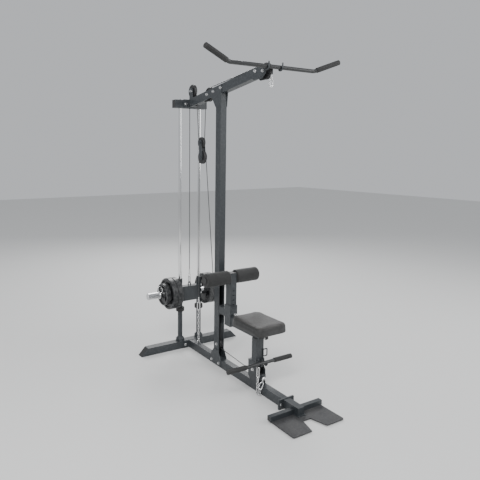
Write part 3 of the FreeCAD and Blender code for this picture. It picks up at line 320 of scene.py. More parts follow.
def coatedMaterial(name, setup):
    # Paint, plastic and rubber: two close tones, dust, worn edges, a skin of its own
    mat, tree, shader = newMaterial(name)
    tone = useGroup(tree, "tone", Scale=setup["drift"], Smudge=setup["smudge"])
    color = mixColor(tree, tone.outputs["Tone"], setup["dark"], setup["light"])
    wear = useGroup(tree, "wear", Amount=setup["wear"], Breakup=setup.get("breakup", 70.0))
    color = mixColor(tree, wear.outputs["Mask"], color, setup["wearColor"])
    dust = useGroup(tree, "dust", Amount=setup["dust"])
    color = mixColor(tree, dust.outputs["Mask"], color, setup.get("dustColor", (0.30, 0.29, 0.27)))
    tree.links.new(color, shader.inputs["Base Color"])
    rough = mathNode(tree, "ADD", rangeNode(tree, tone.outputs["Gloss"], 0.0, 1.0, setup["rough"],
                                            setup["rough"] + 0.09),
                     mathNode(tree, "MULTIPLY", dust.outputs["Mask"], 0.35))
    tree.links.new(rough, shader.inputs["Roughness"])
    skin = useGroup(tree, "peel", Scale=setup["skinScale"], Grain=setup["grain"])
    tree.links.new(bumpNode(tree, skin.outputs["Height"], setup["bump"], setup["bumpDepth"]),
                   shader.inputs["Normal"])
    shader.inputs["Specular IOR Level"].default_value = setup.get("specular", 0.5)
    shader.inputs["Sheen Weight"].default_value = setup.get("sheen", 0.0)
    return mat


def metalMaterial(name, setup):
    mat, tree, shader = newMaterial(name)
    shader.inputs["Metallic"].default_value = 1.0
    tone = useGroup(tree, "tone", Scale=setup["drift"], Smudge=0.6)
    tree.links.new(mixColor(tree, tone.outputs["Tone"], setup["dark"], setup["light"]),
                   shader.inputs["Base Color"])
    lines = useGroup(tree, "hairline", Along_X=setup["lines"][0], Along_Y=setup["lines"][1],
                     Along_Z=setup["lines"][2])
    rough = mathNode(tree, "ADD", rangeNode(tree, tone.outputs["Gloss"], 0.0, 1.0, setup["rough"],
                                            setup["rough"] + 0.16),
                     rangeNode(tree, lines.outputs["Height"], 0.3, 0.7, -0.03, 0.05))
    tree.links.new(rough, shader.inputs["Roughness"])
    tree.links.new(bumpNode(tree, lines.outputs["Height"], setup["bump"], 0.0002), shader.inputs["Normal"])
    return mat


def vinylMaterial(name, setup):
    mat, tree, shader = newMaterial(name)
    tone = useGroup(tree, "tone", Scale=11.0, Smudge=0.7)
    color = mixColor(tree, tone.outputs["Tone"], setup["dark"], setup["light"])
    pebble = useGroup(tree, "leather", Scale=setup["pebble"])
    # Painted shade: the creases between the pebbles are darkened in the base colour
    color = mixColor(tree, rangeNode(tree, pebble.outputs["Height"], 0.15, 0.9), setup["creaseShade"], color)
    dust = useGroup(tree, "dust", Amount=0.10)
    color = mixColor(tree, dust.outputs["Mask"], color, (0.30, 0.29, 0.27))
    tree.links.new(color, shader.inputs["Base Color"])
    rough = rangeNode(tree, tone.outputs["Gloss"], 0.0, 1.0, setup["rough"], setup["rough"] + 0.15)
    tree.links.new(rough, shader.inputs["Roughness"])
    tree.links.new(bumpNode(tree, pebble.outputs["Height"], 0.45, 0.0004), shader.inputs["Normal"])
    shader.inputs["Sheen Weight"].default_value = 0.08
    return mat


def foamMaterial(name, setup):
    # Closed-cell foam: matt skin pitted with tiny pores, each pore darkened with painted shade
    mat, tree, shader = newMaterial(name)
    coords = objectCoords(tree)
    pores = tree.nodes.new("ShaderNodeTexVoronoi")
    pores.inputs["Scale"].default_value = setup["pores"]
    tree.links.new(coords, pores.inputs["Vector"])
    pitShade = rangeNode(tree, pores.outputs["Distance"], 0.05, 0.55)
    tone = useGroup(tree, "tone", Scale=16.0, Smudge=0.6)
    color = mixColor(tree, tone.outputs["Tone"], setup["dark"], setup["light"])
    # Painted shade: the base colour is darkened inside each pore
    color = mixColor(tree, pitShade, setup["pitShade"], color)
    dust = useGroup(tree, "dust", Amount=0.14)
    color = mixColor(tree, dust.outputs["Mask"], color, (0.26, 0.26, 0.25))
    tree.links.new(color, shader.inputs["Base Color"])
    tree.links.new(rangeNode(tree, tone.outputs["Gloss"], 0.0, 1.0, setup["rough"], 0.9),
                   shader.inputs["Roughness"])
    tree.links.new(bumpNode(tree, pitShade, 0.5, 0.0005), shader.inputs["Normal"])
    shader.inputs["Sheen Weight"].default_value = 0.12
    return mat


def cableMaterial(name, setup):
    # Black sheath with the rope's lay showing through
    mat, tree, shader = newMaterial(name)
    coords = objectCoords(tree)
    lay = tree.nodes.new("ShaderNodeTexWave")
    lay.bands_direction = "DIAGONAL"
    lay.inputs["Scale"].default_value = setup["lay"]
    lay.inputs["Distortion"].default_value = 0.4
    tree.links.new(coords, lay.inputs["Vector"])
    tone = useGroup(tree, "tone", Scale=20.0, Smudge=0.5)
    color = mixColor(tree, tone.outputs["Tone"], setup["dark"], setup["light"])
    color = mixColor(tree, rangeNode(tree, lay.outputs["Fac"], 0.0, 1.0, 0.0, 0.35), color, setup["wire"])
    tree.links.new(color, shader.inputs["Base Color"])
    tree.links.new(rangeNode(tree, tone.outputs["Gloss"], 0.0, 1.0, setup["rough"], setup["rough"] + 0.2),
                   shader.inputs["Roughness"])
    tree.links.new(bumpNode(tree, lay.outputs["Fac"], 0.35, 0.0003), shader.inputs["Normal"])
    return mat


paintSetup = {"dark": (0.027, 0.031, 0.035), "light": (0.031, 0.036, 0.040), "drift": 3.0, "smudge": 0.25,
              "wear": 0.30, "wearColor": (0.10, 0.105, 0.11), "dust": 0.07, "rough": 0.36, "skinScale": 420.0,
              "grain": 0.35, "bump": 0.16, "bumpDepth": 0.0004}
treadSetup = dict(paintSetup, dark=(0.030, 0.030, 0.032), light=(0.042, 0.042, 0.044), rough=0.5,
                  skinScale=900.0, bump=0.6, dust=0.16)
barPaintSetup = dict(paintSetup, dark=(0.020, 0.021, 0.022), light=(0.030, 0.031, 0.032),
                     rough=0.30, dust=0.05)
nylonSetup = dict(paintSetup, dark=(0.018, 0.018, 0.019), light=(0.028, 0.028, 0.029), rough=0.42, wear=0.25,
                  wearColor=(0.07, 0.07, 0.07), skinScale=260.0, bump=0.08)
plasticSetup = dict(nylonSetup, rough=0.5, skinScale=700.0, bump=0.25, wear=0.15)
rubberSetup = dict(nylonSetup, dark=(0.014, 0.014, 0.014), light=(0.024, 0.024, 0.024), rough=0.62,
                   skinScale=600.0, bump=0.3, wear=0.1, sheen=0.05)
plateSetup = dict(paintSetup, dark=(0.016, 0.017, 0.018), light=(0.020, 0.021, 0.023), rough=0.34,
                  skinScale=240.0, bump=0.3, wear=0.45, wearColor=(0.16, 0.16, 0.16), dust=0.06)
chromeSetup = {"dark": (0.82, 0.82, 0.83), "light": (0.90, 0.90, 0.89), "drift": 9.0, "rough": 0.09,
               "lines": (9.0, 9.0, 0.6), "bump": 0.04}
sleeveSetup = dict(chromeSetup, lines=(0.6, 9.0, 9.0), rough=0.14, dark=(0.60, 0.61, 0.62),
                   light=(0.74, 0.74, 0.75))
zincSetup = dict(chromeSetup, dark=(0.70, 0.70, 0.71), light=(0.84, 0.84, 0.83), rough=0.18, drift=30.0,
                 lines=(6.0, 6.0, 6.0), bump=0.12)

finishes = {
    "paint": coatedMaterial("framePowderCoat", paintSetup),
    "tread": coatedMaterial("footPlateCoat", treadSetup),
    "barPaint": coatedMaterial("barEnamel", barPaintSetup),
    "nylon": coatedMaterial("pulleyNylon", nylonSetup),
    "plastic": coatedMaterial("mouldedPlastic", plasticSetup),
    "rubber": coatedMaterial("gripRubber", rubberSetup),
    "plate": coatedMaterial("plateEnamel", plateSetup),
    "chrome": metalMaterial("rodChrome", chromeSetup),
    "sleeve": metalMaterial("sleeveChrome", sleeveSetup),
    "zinc": metalMaterial("zincPlate", zincSetup),
    # The crease colours below are painted shade for the creases of the pebbled vinyl
    "vinyl": vinylMaterial("seatVinyl", {"dark": (0.040, 0.038, 0.036), "light": (0.058, 0.055, 0.052),
                                         "creaseShade": (0.020, 0.019, 0.018), "pebble": 520.0, "rough": 0.42}),
    "sideVinyl": vinylMaterial("seatSideVinyl", {"dark": (0.026, 0.026, 0.026), "light": (0.038, 0.038, 0.037),
                                                 "creaseShade": (0.014, 0.014, 0.014), "pebble": 520.0, "rough": 0.46}),
    # The pit colour is painted shade inside the foam's pores
    "foam": foamMaterial("rollerFoam", {"dark": (0.012, 0.012, 0.012), "light": (0.021, 0.021, 0.021),
                                        "pitShade": (0.007, 0.007, 0.007), "pores": 950.0, "rough": 0.74}),
    "cable": cableMaterial("cableSheath", {"dark": (0.018, 0.018, 0.018), "light": (0.035, 0.035, 0.035),
                                           "wire": (0.16, 0.16, 0.165), "lay": 160.0, "rough": 0.3}),
}

nodeFinish = {
    "paint": ["rear_stabilizer", "base_tube", "foot_frame", "upright", "boom", "joint_plates", "top_crossbar",
              "front_pulley_bracket", "lat_bar_hooks", "rear_pulley_bracket", "rod_stands", "seat_frame",
              "seat_post", "row_bar_rest", "block_plates", "thigh_post", "carriage_frame"],
    "tread": ["foot_plate"],
    "barPaint": ["lat_bar", "row_bar"],
    "plastic": ["end_caps_and_feet", "carriage_bushings", "thigh_post_caps"],
    "nylon": ["front_pulley", "boom_pulley", "rear_pulley", "block_upper_pulley", "block_lower_pulley",
              "upright_pulley", "row_pulley"],
    "rubber": ["rod_bumpers", "lat_bar_grips", "row_bar_grips", "left_foam_roller", "right_foam_roller"],
    "chrome": ["guide_rods", "pin_housings", "thigh_pull_pin", "seat_lock_pin", "left_collar", "right_collar"],
    "sleeve": ["weight_sleeves"],
    "zinc": ["frame_bolts", "pulley_axles", "anchor_chain", "row_cable_end", "lat_snap_hook", "row_bar_hook",
             "row_chain", "carriage_hook"],
    "cable": ["high_cable", "low_cable", "carriage_cable"],
    "plate": [side + kind for side in ("left", "right") for kind in ("_inner_plate", "_outer_plate",
                                                                    "_small_plate")],
    "vinyl": ["seat_pad"],
}
for finish, names in nodeFinish.items():
    for name in names:
        node = nodes[name]
        node.data.materials.clear()
        node.data.materials.append(finishes[finish])
print("materials ready")


# Modelling steps used by several pieces

def pick(test, mode="FACE"):
    # Select what passes the test, by its middle and normal; called in edit mode
    bpy.ops.mesh.select_mode(type=mode)
    bpy.ops.mesh.select_all(action="DESELECT")
    bpy.ops.object.mode_set(mode="OBJECT")
    mesh = bpy.context.object.data
    if mode == "FACE":
        for face in mesh.polygons:
            face.select = test(face.center, face.normal)
    else:
        for edge in mesh.edges:
            a, b = (mesh.vertices[i].co for i in edge.vertices)
            edge.select = test((a + b) / 2, b - a)
    bpy.ops.object.mode_set(mode="EDIT")


def startCylinder(name, radius, length, sides=48, place=(0, 0, 0), turn=(0, 0, 0)):
    bpy.ops.object.select_all(action="DESELECT")
    bpy.ops.mesh.primitive_cylinder_add(vertices=sides, radius=radius, depth=length, location=place,
                                        rotation=turn)
    bpy.context.object.name = name
    return bpy.context.object


def onlySelect(piece):
    bpy.ops.object.select_all(action="DESELECT")
    piece.select_set(True)
    bpy.context.view_layer.objects.active = piece


def applyAll(piece):
    onlySelect(piece)
    bpy.ops.object.transform_apply(location=True, rotation=True, scale=True)
    for modifier in list(piece.modifiers):
        bpy.ops.object.modifier_apply(modifier=modifier.name)


def finishPiece(piece, finish, body, smooth=35):
    applyAll(piece)
    piece.data.materials.clear()
    piece.data.materials.append(finishes[finish])
    bpy.ops.object.shade_smooth_by_angle(angle=math.radians(smooth))
    if body:
        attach(piece, body)
    return piece


def joinPieces(pieces, name):
    onlySelect(pieces[0])
    for piece in pieces:
        piece.select_set(True)
    if len(pieces) > 1:
        bpy.ops.object.join()
    bpy.context.object.name = name
    return bpy.context.object


def bevelEdges(piece, width, segments=3, angle=40):
    modifier = piece.modifiers.new("softEdge", "BEVEL")
    modifier.width = width
    modifier.segments = segments
    modifier.angle_limit = math.radians(angle)


def tubeFromPoints(name, points, radius, closed=False, sides=4):
    # A bar or bead along a polyline, turned into a mesh
    bpy.ops.object.select_all(action="DESELECT")
    curve = bpy.data.curves.new(name, "CURVE")
    curve.dimensions = "3D"
    curve.bevel_depth = radius
    curve.bevel_resolution = sides
    curve.use_fill_caps = True
    line = curve.splines.new("POLY")
    line.points.add(len(points) - 1)
    for knot, point in zip(line.points, points):
        knot.co = (*point, 1)
    line.use_cyclic_u = closed
    piece = bpy.data.objects.new(name, curve)
    bpy.context.scene.collection.objects.link(piece)
    onlySelect(piece)
    bpy.ops.object.convert(target="MESH")
    return bpy.context.object


# Seat cushion

seatSetup = {
    "corner": 0.044, "remesh": 0.0055, "pressure": 4.0, "swell": 0.0035, "inset": 0.004, "boardHeight": 0.012,
    "seamDrop": 0.013, "seamDepth": 0.0035, "seamWidth": 0.005, "piping": 0.0021,
}


def startPad():
    # Rounded block, a little smaller than the finished cushion
    low, high = box("seat_pad")
    size = high - low - Vector((2, 2, 0)) * seatSetup["inset"] - Vector((0, 0, 0.006))
    place = (low + high) / 2 - Vector((0, 0, 0.003))
    bpy.ops.object.select_all(action="DESELECT")
    bpy.ops.mesh.primitive_cube_add(size=1, location=place)
    pad = bpy.context.object
    pad.name = "seatCushion"
    pad.scale = size
    bpy.ops.object.transform_apply(location=True, rotation=True, scale=True)
    bpy.ops.object.mode_set(mode="EDIT")
    pick(lambda spot, along: abs(along.z) > 0.02, "EDGE")
    bpy.ops.mesh.bevel(offset=seatSetup["corner"], segments=8, affect="EDGES")
    pick(lambda spot, normal: normal.z > 0.9)
    bpy.ops.mesh.bevel(offset=0.007, segments=3, affect="EDGES")
    bpy.ops.object.mode_set(mode="OBJECT")
    return pad


def remeshPad(pad):
    modifier = pad.modifiers.new("skin", "REMESH")
    modifier.mode = "VOXEL"
    modifier.voxel_size = seatSetup["remesh"]
    onlySelect(pad)
    bpy.ops.object.modifier_apply(modifier="skin")


def inflatePad(pad):
    # The board under the pad holds its lowest rows; the rest swells a little and is held to a limit
    low = min(vertex.co.z for vertex in pad.data.vertices)
    rest = [vertex.co.copy() for vertex in pad.data.vertices]
    pinned = pad.vertex_groups.new(name="board")
    board = [v.index for v in pad.data.vertices if v.co.z < low + seatSetup["boardHeight"]]
    pinned.add(board, 1.0, "REPLACE")
    cloth = pad.modifiers.new("swell", "CLOTH")
    cloth.settings.use_pressure = True
    cloth.settings.uniform_pressure_force = seatSetup["pressure"]
    cloth.settings.effector_weights.gravity = 0
    cloth.settings.vertex_group_mass = "board"
    cloth.settings.quality = 5
    for step in range(1, 21):
        bpy.context.scene.frame_set(step)
    onlySelect(pad)
    bpy.ops.object.modifier_apply(modifier="swell")
    bpy.context.scene.frame_set(1)
    for vertex, start in zip(pad.data.vertices, rest):
        move = vertex.co - start
        if move.length > seatSetup["swell"]:
            vertex.co = start + move.normalized() * seatSetup["swell"]


def crownPad(pad):
    # Gentle crown over the top and sides that pull in between the corners
    low, high = box("seat_pad")
    centre = (low + high) / 2
    half = (high - low) / 2
    for vertex in pad.data.vertices:
        u = (vertex.co.x - centre.x) / half.x
        v = (vertex.co.y - centre.y) / half.y
        lift = max(0.0, 1 - abs(u) ** 2.5) * max(0.0, 1 - abs(v) ** 2.5)
        share = (vertex.co.z - low.z) / (high.z - low.z)
        vertex.co.z += 0.003 * lift * max(0.0, share - 0.5)
        pull = 0.0016 * math.sin(math.pi * min(1.0, max(0.0, share)))
        vertex.co.x -= math.copysign(pull * (1 - v * v), u) * (abs(u) > 0.9)
        vertex.co.y -= math.copysign(pull * (1 - u * u), v) * (abs(v) > 0.9)


def keepInside(pad):
    # The finished pad fills the frame's own pad solid, no more
    low, high = box("seat_pad")
    corners = [Vector(corner) for corner in pad.bound_box]
    padLow = Vector([min(c[i] for c in corners) for i in range(3)])
    padHigh = Vector([max(c[i] for c in corners) for i in range(3)])
    for vertex in pad.data.vertices:
        for i in range(3):
            share = (vertex.co[i] - padLow[i]) / (padHigh[i] - padLow[i])
            vertex.co[i] = low[i] + share * (high[i] - low[i])


def seamHeight(pad):
    return max(vertex.co.z for vertex in pad.data.vertices) - seatSetup["seamDrop"]


def sinkSeam(pad, height):
    # The panel and the side band are drawn together where they are sewn
    for vertex in pad.data.vertices:
        gap = abs(vertex.co.z - height)
        if gap > seatSetup["seamWidth"] * 2:
            continue
        depth = seatSetup["seamDepth"] * math.exp(-(gap / seatSetup["seamWidth"]) ** 2 * 2)
        outward = Vector((vertex.normal.x, vertex.normal.y, 0))
        if outward.length > 0.3:
            vertex.co -= outward.normalized() * depth


def pipingPath(pad, height):
    # Where the seam runs, read off the finished cushion
    low, high = box("seat_pad")
    centre = (low + high) / 2
    path = []
    for i in range(120):
        angle = 2 * math.pi * i / 120
        ray = Vector((math.cos(angle), math.sin(angle), 0))
        start = Vector((centre.x, centre.y, height)) + ray * 0.5
        found, spot, normal, face = pad.ray_cast(start, -ray)
        if found:
            path.append(spot + Vector((normal.x, normal.y, 0)).normalized() * seatSetup["piping"] * 0.35)
    return path


def splitPanels(pad, height):
    # Top panel and side band are two vinyls; faces below the seam take the darker one
    pad.data.materials.clear()
    pad.data.materials.append(finishes["vinyl"])
    pad.data.materials.append(finishes["sideVinyl"])
    for face in pad.data.polygons:
        face.material_index = 0 if face.center.z > height else 1


def buildSeat():
    pad = startPad()
    remeshPad(pad)
    inflatePad(pad)
    crownPad(pad)
    smoother = pad.modifiers.new("ease", "SMOOTH")
    smoother.iterations = 4
    smoother.factor = 0.5
    onlySelect(pad)
    bpy.ops.object.modifier_apply(modifier="ease")
    keepInside(pad)
    smoother = pad.modifiers.new("finer", "SUBSURF")
    smoother.levels = 1
    smoother.render_levels = 1
    onlySelect(pad)
    bpy.ops.object.modifier_apply(modifier="finer")
    height = seamHeight(pad)
    sinkSeam(pad, height)
    bpy.ops.object.shade_smooth()
    splitPanels(pad, height)
    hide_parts("seat_pad")
    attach(pad, "frame")
    welt = tubeFromPoints("seatPiping", pipingPath(pad, height), seatSetup["piping"], closed=True)
    finishPiece(welt, "sideVinyl", "frame", 60)
    stitches = []
    path = pipingPath(pad, height - 0.006)
    for i in range(0, len(path) - 1):
        along = (path[i + 1] - path[i]).normalized()
        stitches.append(tubeFromPoints("stitch", [path[i] - along * 0.0022, path[i] + along * 0.0022], 0.0005,
                                       sides=1))
    thread = joinPieces(stitches, "seatStitching")
    finishPiece(thread, "plastic", "frame")


buildSeat()
print("seat ready")


# Foam rollers

rollerSetup = {"endRound": 0.010, "rows": 30, "sag": 0.0008, "endDish": 0.004}


def buildRoller(node, body):
    low, high = box(node)
    centre = (low + high) / 2
    radius = (high.z - low.z) / 2
    length = high.x - low.x
    foam = startCylinder(node.replace("_foam", "Foam"), radius, length, 72, centre, (0, math.radians(90), 0))
    bpy.ops.object.transform_apply(location=True, rotation=True, scale=True)
    bpy.ops.object.mode_set(mode="EDIT")
    pick(lambda spot, normal: abs(normal.x) > 0.9)
    bpy.ops.mesh.inset(thickness=radius * 0.55, use_individual=True)
    bpy.ops.mesh.inset(thickness=radius * 0.12, use_individual=True)
    bpy.ops.object.mode_set(mode="OBJECT")
    for vertex in foam.data.vertices:
        reach = math.hypot(vertex.co.y - centre.y, vertex.co.z - centre.z)
        if reach < radius * 0.5:
            vertex.co.x -= math.copysign(rollerSetup["endDish"] * 0.5, vertex.co.x - centre.x)
    bpy.ops.object.mode_set(mode="EDIT")
    pick(lambda spot, along: abs(abs(spot.x - centre.x) - length / 2) < 0.0005
         and math.hypot(spot.y - centre.y, spot.z - centre.z) > radius * 0.97, "EDGE")
    bpy.ops.mesh.bevel(offset=rollerSetup["endRound"], segments=6, affect="EDGES")
    for i in range(1, rollerSetup["rows"]):
        bpy.ops.mesh.select_all(action="SELECT")
        inset = rollerSetup["endRound"]
        at = low.x + inset + (length - 2 * inset) * i / rollerSetup["rows"]
        bpy.ops.mesh.bisect(plane_co=(at, 0, 0), plane_no=(1, 0, 0))
    bpy.ops.object.mode_set(mode="OBJECT")
    for vertex in foam.data.vertices:
        # soft unevenness of foam stretched over a tube
        along = (vertex.co.x - centre.x) * 38
        turn = math.atan2(vertex.co.z - centre.z, vertex.co.y - centre.y)
        waves = math.sin(along + 2 * turn) + 0.6 * math.sin(2.3 * along - 3 * turn)
        swell = rollerSetup["sag"] * (waves - 1.6)
        outward = Vector((0, vertex.co.y - centre.y, vertex.co.z - centre.z))
        if outward.length > radius * 0.8:
            vertex.co += outward.normalized() * swell * 0.4
    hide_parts(node)
    finishPiece(foam, "foam", body, 50)


buildRoller("left_foam_roller", "left_roller")
buildRoller("right_foam_roller", "right_roller")
print("rollers ready")


# Rubber grips

gripSetup = {"ribs": 34, "ribDepth": 0.0007, "endRound": 0.0025, "rowLength": 0.150, "latRadius": 0.0165,
             "latBendX": 0.329, "latBarRadius": 0.0125, "pastBend": 0.020, "pastTip": 0.003}


def ribbedGrip(name, start, end, radius):
    # Moulded sleeve: fine ring ribs between two plain collars
    along = end - start
    turn = along.to_track_quat("Z", "Y").to_euler()
    grip = startCylinder(name, radius, along.length, 36, (start + end) / 2, turn)
    bpy.ops.object.mode_set(mode="EDIT")
    direction = along.normalized()
    for i in range(1, gripSetup["ribs"] * 2):
        share = 0.08 + 0.84 * i / (gripSetup["ribs"] * 2)
        bpy.ops.mesh.select_all(action="SELECT")
        # bisect works in world space
        bpy.ops.mesh.bisect(plane_co=start + along * share, plane_no=direction)
    bpy.ops.object.mode_set(mode="OBJECT")
    applyAll(grip)
    for vertex in grip.data.vertices:
        share = (vertex.co - start).dot(direction) / along.length
        step = round((share - 0.08) / 0.84 * gripSetup["ribs"] * 2)
        if 0 < step < gripSetup["ribs"] * 2 and step % 2 == 1:
            core = start + direction * (vertex.co - start).dot(direction)
            vertex.co -= (vertex.co - core).normalized() * gripSetup["ribDepth"]
    bevelEdges(grip, gripSetup["endRound"], 3, 60)
    return grip


def buildRowGrips():
    low, high = box("row_bar_grips")
    radius = (high.z - low.z) / 2
    y, z = (low.y + high.y) / 2, (low.z + high.z) / 2
    reach = Vector((gripSetup["rowLength"], 0, 0))
    outerLeft, outerRight = Vector((low.x, y, z)), Vector((high.x, y, z))
    left = ribbedGrip("rowGripLeft", outerLeft, outerLeft + reach, radius)
    right = ribbedGrip("rowGripRight", outerRight, outerRight - reach, radius)
    grips = joinAfterApply([left, right], "rowGrips")
    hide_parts("row_bar_grips")
    finishPiece(grips, "rubber", "row_handle")


def joinAfterApply(pieces, name):
    for piece in pieces:
        applyAll(piece)
    return joinPieces(pieces, name)


def buildLatGrips():
    lowBar, highBar = box("lat_bar")
    barRadius = gripSetup["latBarRadius"]
    pieces = []
    for sign in (-1, 1):
        tipSide = [v.co for v in nodes["lat_bar"].data.vertices if v.co.x * sign > highBar.x - 0.012]
        tip = sum(tipSide, Vector()) / len(tipSide)
        bend = Vector((sign * gripSetup["latBendX"], highBar.y - barRadius, lowBar.z + barRadius))
        along = (tip - bend).normalized()
        start = bend + along * gripSetup["pastBend"]
        end = tip + along * gripSetup["pastTip"]
        pieces.append(ribbedGrip("latGrip", start, end, gripSetup["latRadius"]))
    grips = joinAfterApply(pieces, "latGrips")
    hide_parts("lat_bar_grips")
    finishPiece(grips, "rubber", "lat_handle")


buildRowGrips()
buildLatGrips()
print("grips ready")


# Cables, which on the machine change length, and the hanging chain

cableSetup = {"radius": 0.0029, "rings": 72, "liftTravel": 1.15}


def verticalCable(name, x, y, low, high, rings):
    cable = startCylinder(name, cableSetup["radius"], high - low, 16, (x, y, (low + high) / 2))
    bpy.ops.object.transform_apply(location=True, rotation=True, scale=True)
    bpy.ops.object.mode_set(mode="EDIT")
    for i in range(1, rings):
        bpy.ops.mesh.select_all(action="SELECT")
        bpy.ops.mesh.bisect(plane_co=(0, 0, low + (high - low) * i / rings), plane_no=(0, 0, 1))
    bpy.ops.object.mode_set(mode="OBJECT")
    return cable


def buildLiftCable():
    low, high = box("carriage_cable")
    spot = (low + high) / 2
    cable = verticalCable("carriageCable", spot.x, spot.y, low.z, high.z, 24)
    finishPiece(cable, "cable", "frame")
    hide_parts("carriage_cable")
    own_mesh(cable)


def buildLatCable():
    # Short at rest; on the machine it runs out between the front pulley and the hook
    low, high = box("high_cable")
    hookLow, hookHigh = box("lat_snap_hook")
    y = low.y + cableSetup["radius"]
    bottom = hookHigh.z - 0.003
    top = middle("front_pulley").z
    cable = verticalCable("latCable", 0, y, bottom, top, cableSetup["rings"])
    finishPiece(cable, "cable", None)
    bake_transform(cable)


def buildRowChain():
    chain = nodes["row_chain"].copy()
    chain.data = nodes["row_chain"].data.copy()
    chain.name = "rowChain"
    chain.parent = None
    for key in [key for key in chain.keys() if key.startswith("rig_")]:
        del chain[key]
    chain.matrix_world = Matrix.Identity(4)
    bpy.context.scene.collection.objects.link(chain)
    onlySelect(chain)
    bpy.ops.object.mode_set(mode="EDIT")
    bpy.ops.mesh.select_all(action="SELECT")
    bpy.ops.mesh.remove_doubles(threshold=0.00001)
    bpy.ops.object.mode_set(mode="OBJECT")
    bpy.ops.object.shade_smooth_by_angle(angle=math.radians(40))
    chain.data.materials.clear()
    chain.data.materials.append(finishes["zinc"])
    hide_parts("row_chain")
    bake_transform(chain)


buildLiftCable()
buildLatCable()
buildRowChain()
print("cables ready")


# Pulley bearings and plate hubs

bearingSetup = {"axle": 0.0056, "race": 0.0125, "lip": 0.0006}
hubSetup = {"inner": 0.0257, "outer": 0.0295, "sink": 0.004, "lip": 0.0004}


def turnedRing(name, centre, inner, outer, start, end, sides=48):
    # Ring about X: a washer-shaped wall with a soft rim, from x start to x end
    ring = startCylinder(name, outer, abs(end - start), sides, (((start + end) / 2), centre.y, centre.z),
                         (0, math.radians(90), 0))
    bpy.ops.object.transform_apply(location=True, rotation=True, scale=True)
    bpy.ops.object.mode_set(mode="EDIT")
    pick(lambda spot, normal: abs(normal.x) > 0.9)
    bpy.ops.mesh.inset(thickness=outer - inner, use_individual=True)
    bpy.ops.mesh.bridge_edge_loops()
    bpy.ops.object.mode_set(mode="OBJECT")
    bevelEdges(ring, min(0.0006, abs(end - start) * 0.2), 2, 50)
    return ring


def buildBearings():
    for name in nodeFinish["nylon"]:
        low, high = box(name)
        centre = (low + high) / 2
        rings = []
        for sign in (-1, 1):
            face = high.x if sign > 0 else low.x
            rings.append(turnedRing("race", centre, bearingSetup["axle"], bearingSetup["race"],
                                    face - sign * 0.002, face + sign * bearingSetup["lip"] * 0.5))
        bearing = joinAfterApply(rings, name + "Bearing")
        finishPiece(bearing, "zinc", name + "_wheel")


def buildHubs():
    for side, sign in (("left", -1), ("right", 1)):
        for kind in ("inner", "outer", "small"):
            low, high = box(side + "_" + kind + "_plate")
            centre = (low + high) / 2
            rings = []
            for face, out in ((high.x, 1), (low.x, -1)):
                rings.append(turnedRing("hubRing", centre, hubSetup["inner"], hubSetup["outer"],
                                        face - out * hubSetup["sink"], face + out * hubSetup["lip"]))
            hub = joinAfterApply(rings, side + kind.capitalize() + "Hub")
            finishPiece(hub, "sleeve", side + "_" + kind + "_weight")


buildBearings()
buildHubs()
print("bearings and hubs ready")


# Weld beads

weldSetup = {"bead": 0.0028, "ripple": 0.0006, "pitch": 0.004}


def weldBead(corners, closed=True):
    # A rippled bead that follows straight edges between corners
    knots = [Vector(corner) for corner in corners]
    if closed:
        knots.append(knots[0])
    points = []
    for a, b in zip(knots, knots[1:]):
        count = max(2, int((b - a).length / weldSetup["pitch"]))
        points += [a.lerp(b, i / count) for i in range(count)]
    if not closed:
        points.append(knots[-1])
    bead = tubeFromPoints("bead", points, weldSetup["bead"], closed=closed, sides=2)
    for vertex in bead.data.vertices:
        wave = math.sin(sum(vertex.co) * math.pi / weldSetup["pitch"])
        vertex.co += vertex.normal * weldSetup["ripple"] * wave
    return bead


def rectangleZ(x, y0, y1, z):
    return [(-x, y0, z), (x, y0, z), (x, y1, z), (-x, y1, z)]


def rectangleY(x, z0, z1, y):
    return [(-x, y, z0), (x, y, z0), (x, y, z1), (-x, y, z1)]


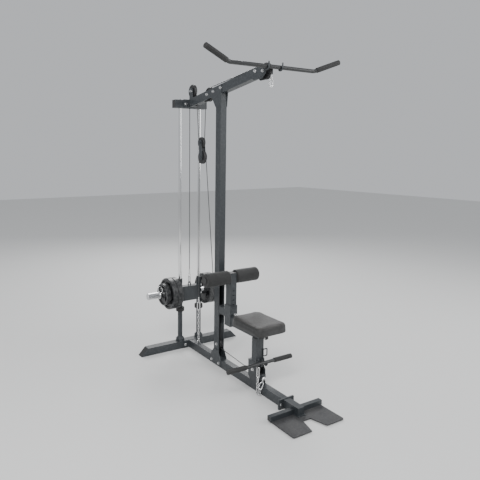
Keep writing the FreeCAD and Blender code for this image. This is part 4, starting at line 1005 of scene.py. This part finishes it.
def buildWelds():
    half = 0.025
    baseTop = 0.060
    thighLow, thighHigh = box("thigh_post")
    frontY = -0.1475 - 0.035
    rearY = -0.1475 + 0.035
    beads = [
        weldBead(rectangleZ(half, -0.030, 0.030, baseTop)),
        weldBead(rectangleY(half, 0.410, 0.466, -0.030)),
        weldBead(rectangleY(half, 0.410, 0.466, rearY)),
        weldBead(rectangleY(half, 0.362, 0.422, frontY)),
        weldBead(rectangleZ(0.030, -0.481, -0.431, 0.200)),
        weldBead([(-0.030, -0.505, baseTop), (0.030, -0.505, baseTop)], False),
        weldBead(rectangleY(half, 0.004, baseTop, -0.736)),
        weldBead(rectangleY(half, 0.004, baseTop, 0.390)),
    ]
    welds = joinPieces(beads, "frameWelds")
    finishPiece(welds, "paint", "frame", 60)
    ends = []
    for x in (-0.088, 0.088):
        ring = [(x + 0.0345 * math.cos(2 * math.pi * i / 32), 0.432 + 0.0345 * math.sin(2 * math.pi * i / 32),
                 baseTop) for i in range(32)]
        ends.append(weldBead(ring))
    stands = joinPieces(ends, "standWelds")
    finishPiece(stands, "paint", "frame", 60)


buildWelds()
print("welds ready")


# Pin knob

knobSetup = {"ring": 0.0145, "grooves": 18, "depth": 0.0011}


def knurledKnob(name, centre, direction, radius, length, body):
    # Black moulded knob with finger flutes, over the pin's own end
    turn = Vector(direction).to_track_quat("Z", "Y").to_euler()
    knob = startCylinder(name, radius, length, knobSetup["grooves"] * 4, centre, turn)
    bpy.ops.object.transform_apply(location=True, rotation=True, scale=True)
    axis = Vector(direction).normalized()
    core = Vector(centre)
    for vertex in knob.data.vertices:
        spoke = vertex.co - core
        spoke -= axis * spoke.dot(axis)
        side = axis.orthogonal().normalized()
        angle = math.atan2(spoke.dot(axis.cross(side)), spoke.dot(side))
        vertex.co -= spoke.normalized() * knobSetup["depth"] * max(0, math.cos(angle * knobSetup["grooves"]))
    bpy.ops.object.mode_set(mode="EDIT")
    pick(lambda spot, normal: abs(normal.dot(axis)) > 0.9)
    bpy.ops.mesh.inset(thickness=radius * 0.22, use_individual=True)
    bpy.ops.object.mode_set(mode="OBJECT")
    bevelEdges(knob, 0.0022, 3, 50)
    return finishPiece(knob, "plastic", body)


def buildKnobs():
    low, high = box("seat_lock_pin")
    centre = (low + high) / 2
    knurledKnob("seatPinKnob", (high.x - 0.0105, centre.y, centre.z), (1, 0, 0), knobSetup["ring"], 0.0225,
                "seat_pin")


buildKnobs()
print("knobs ready")
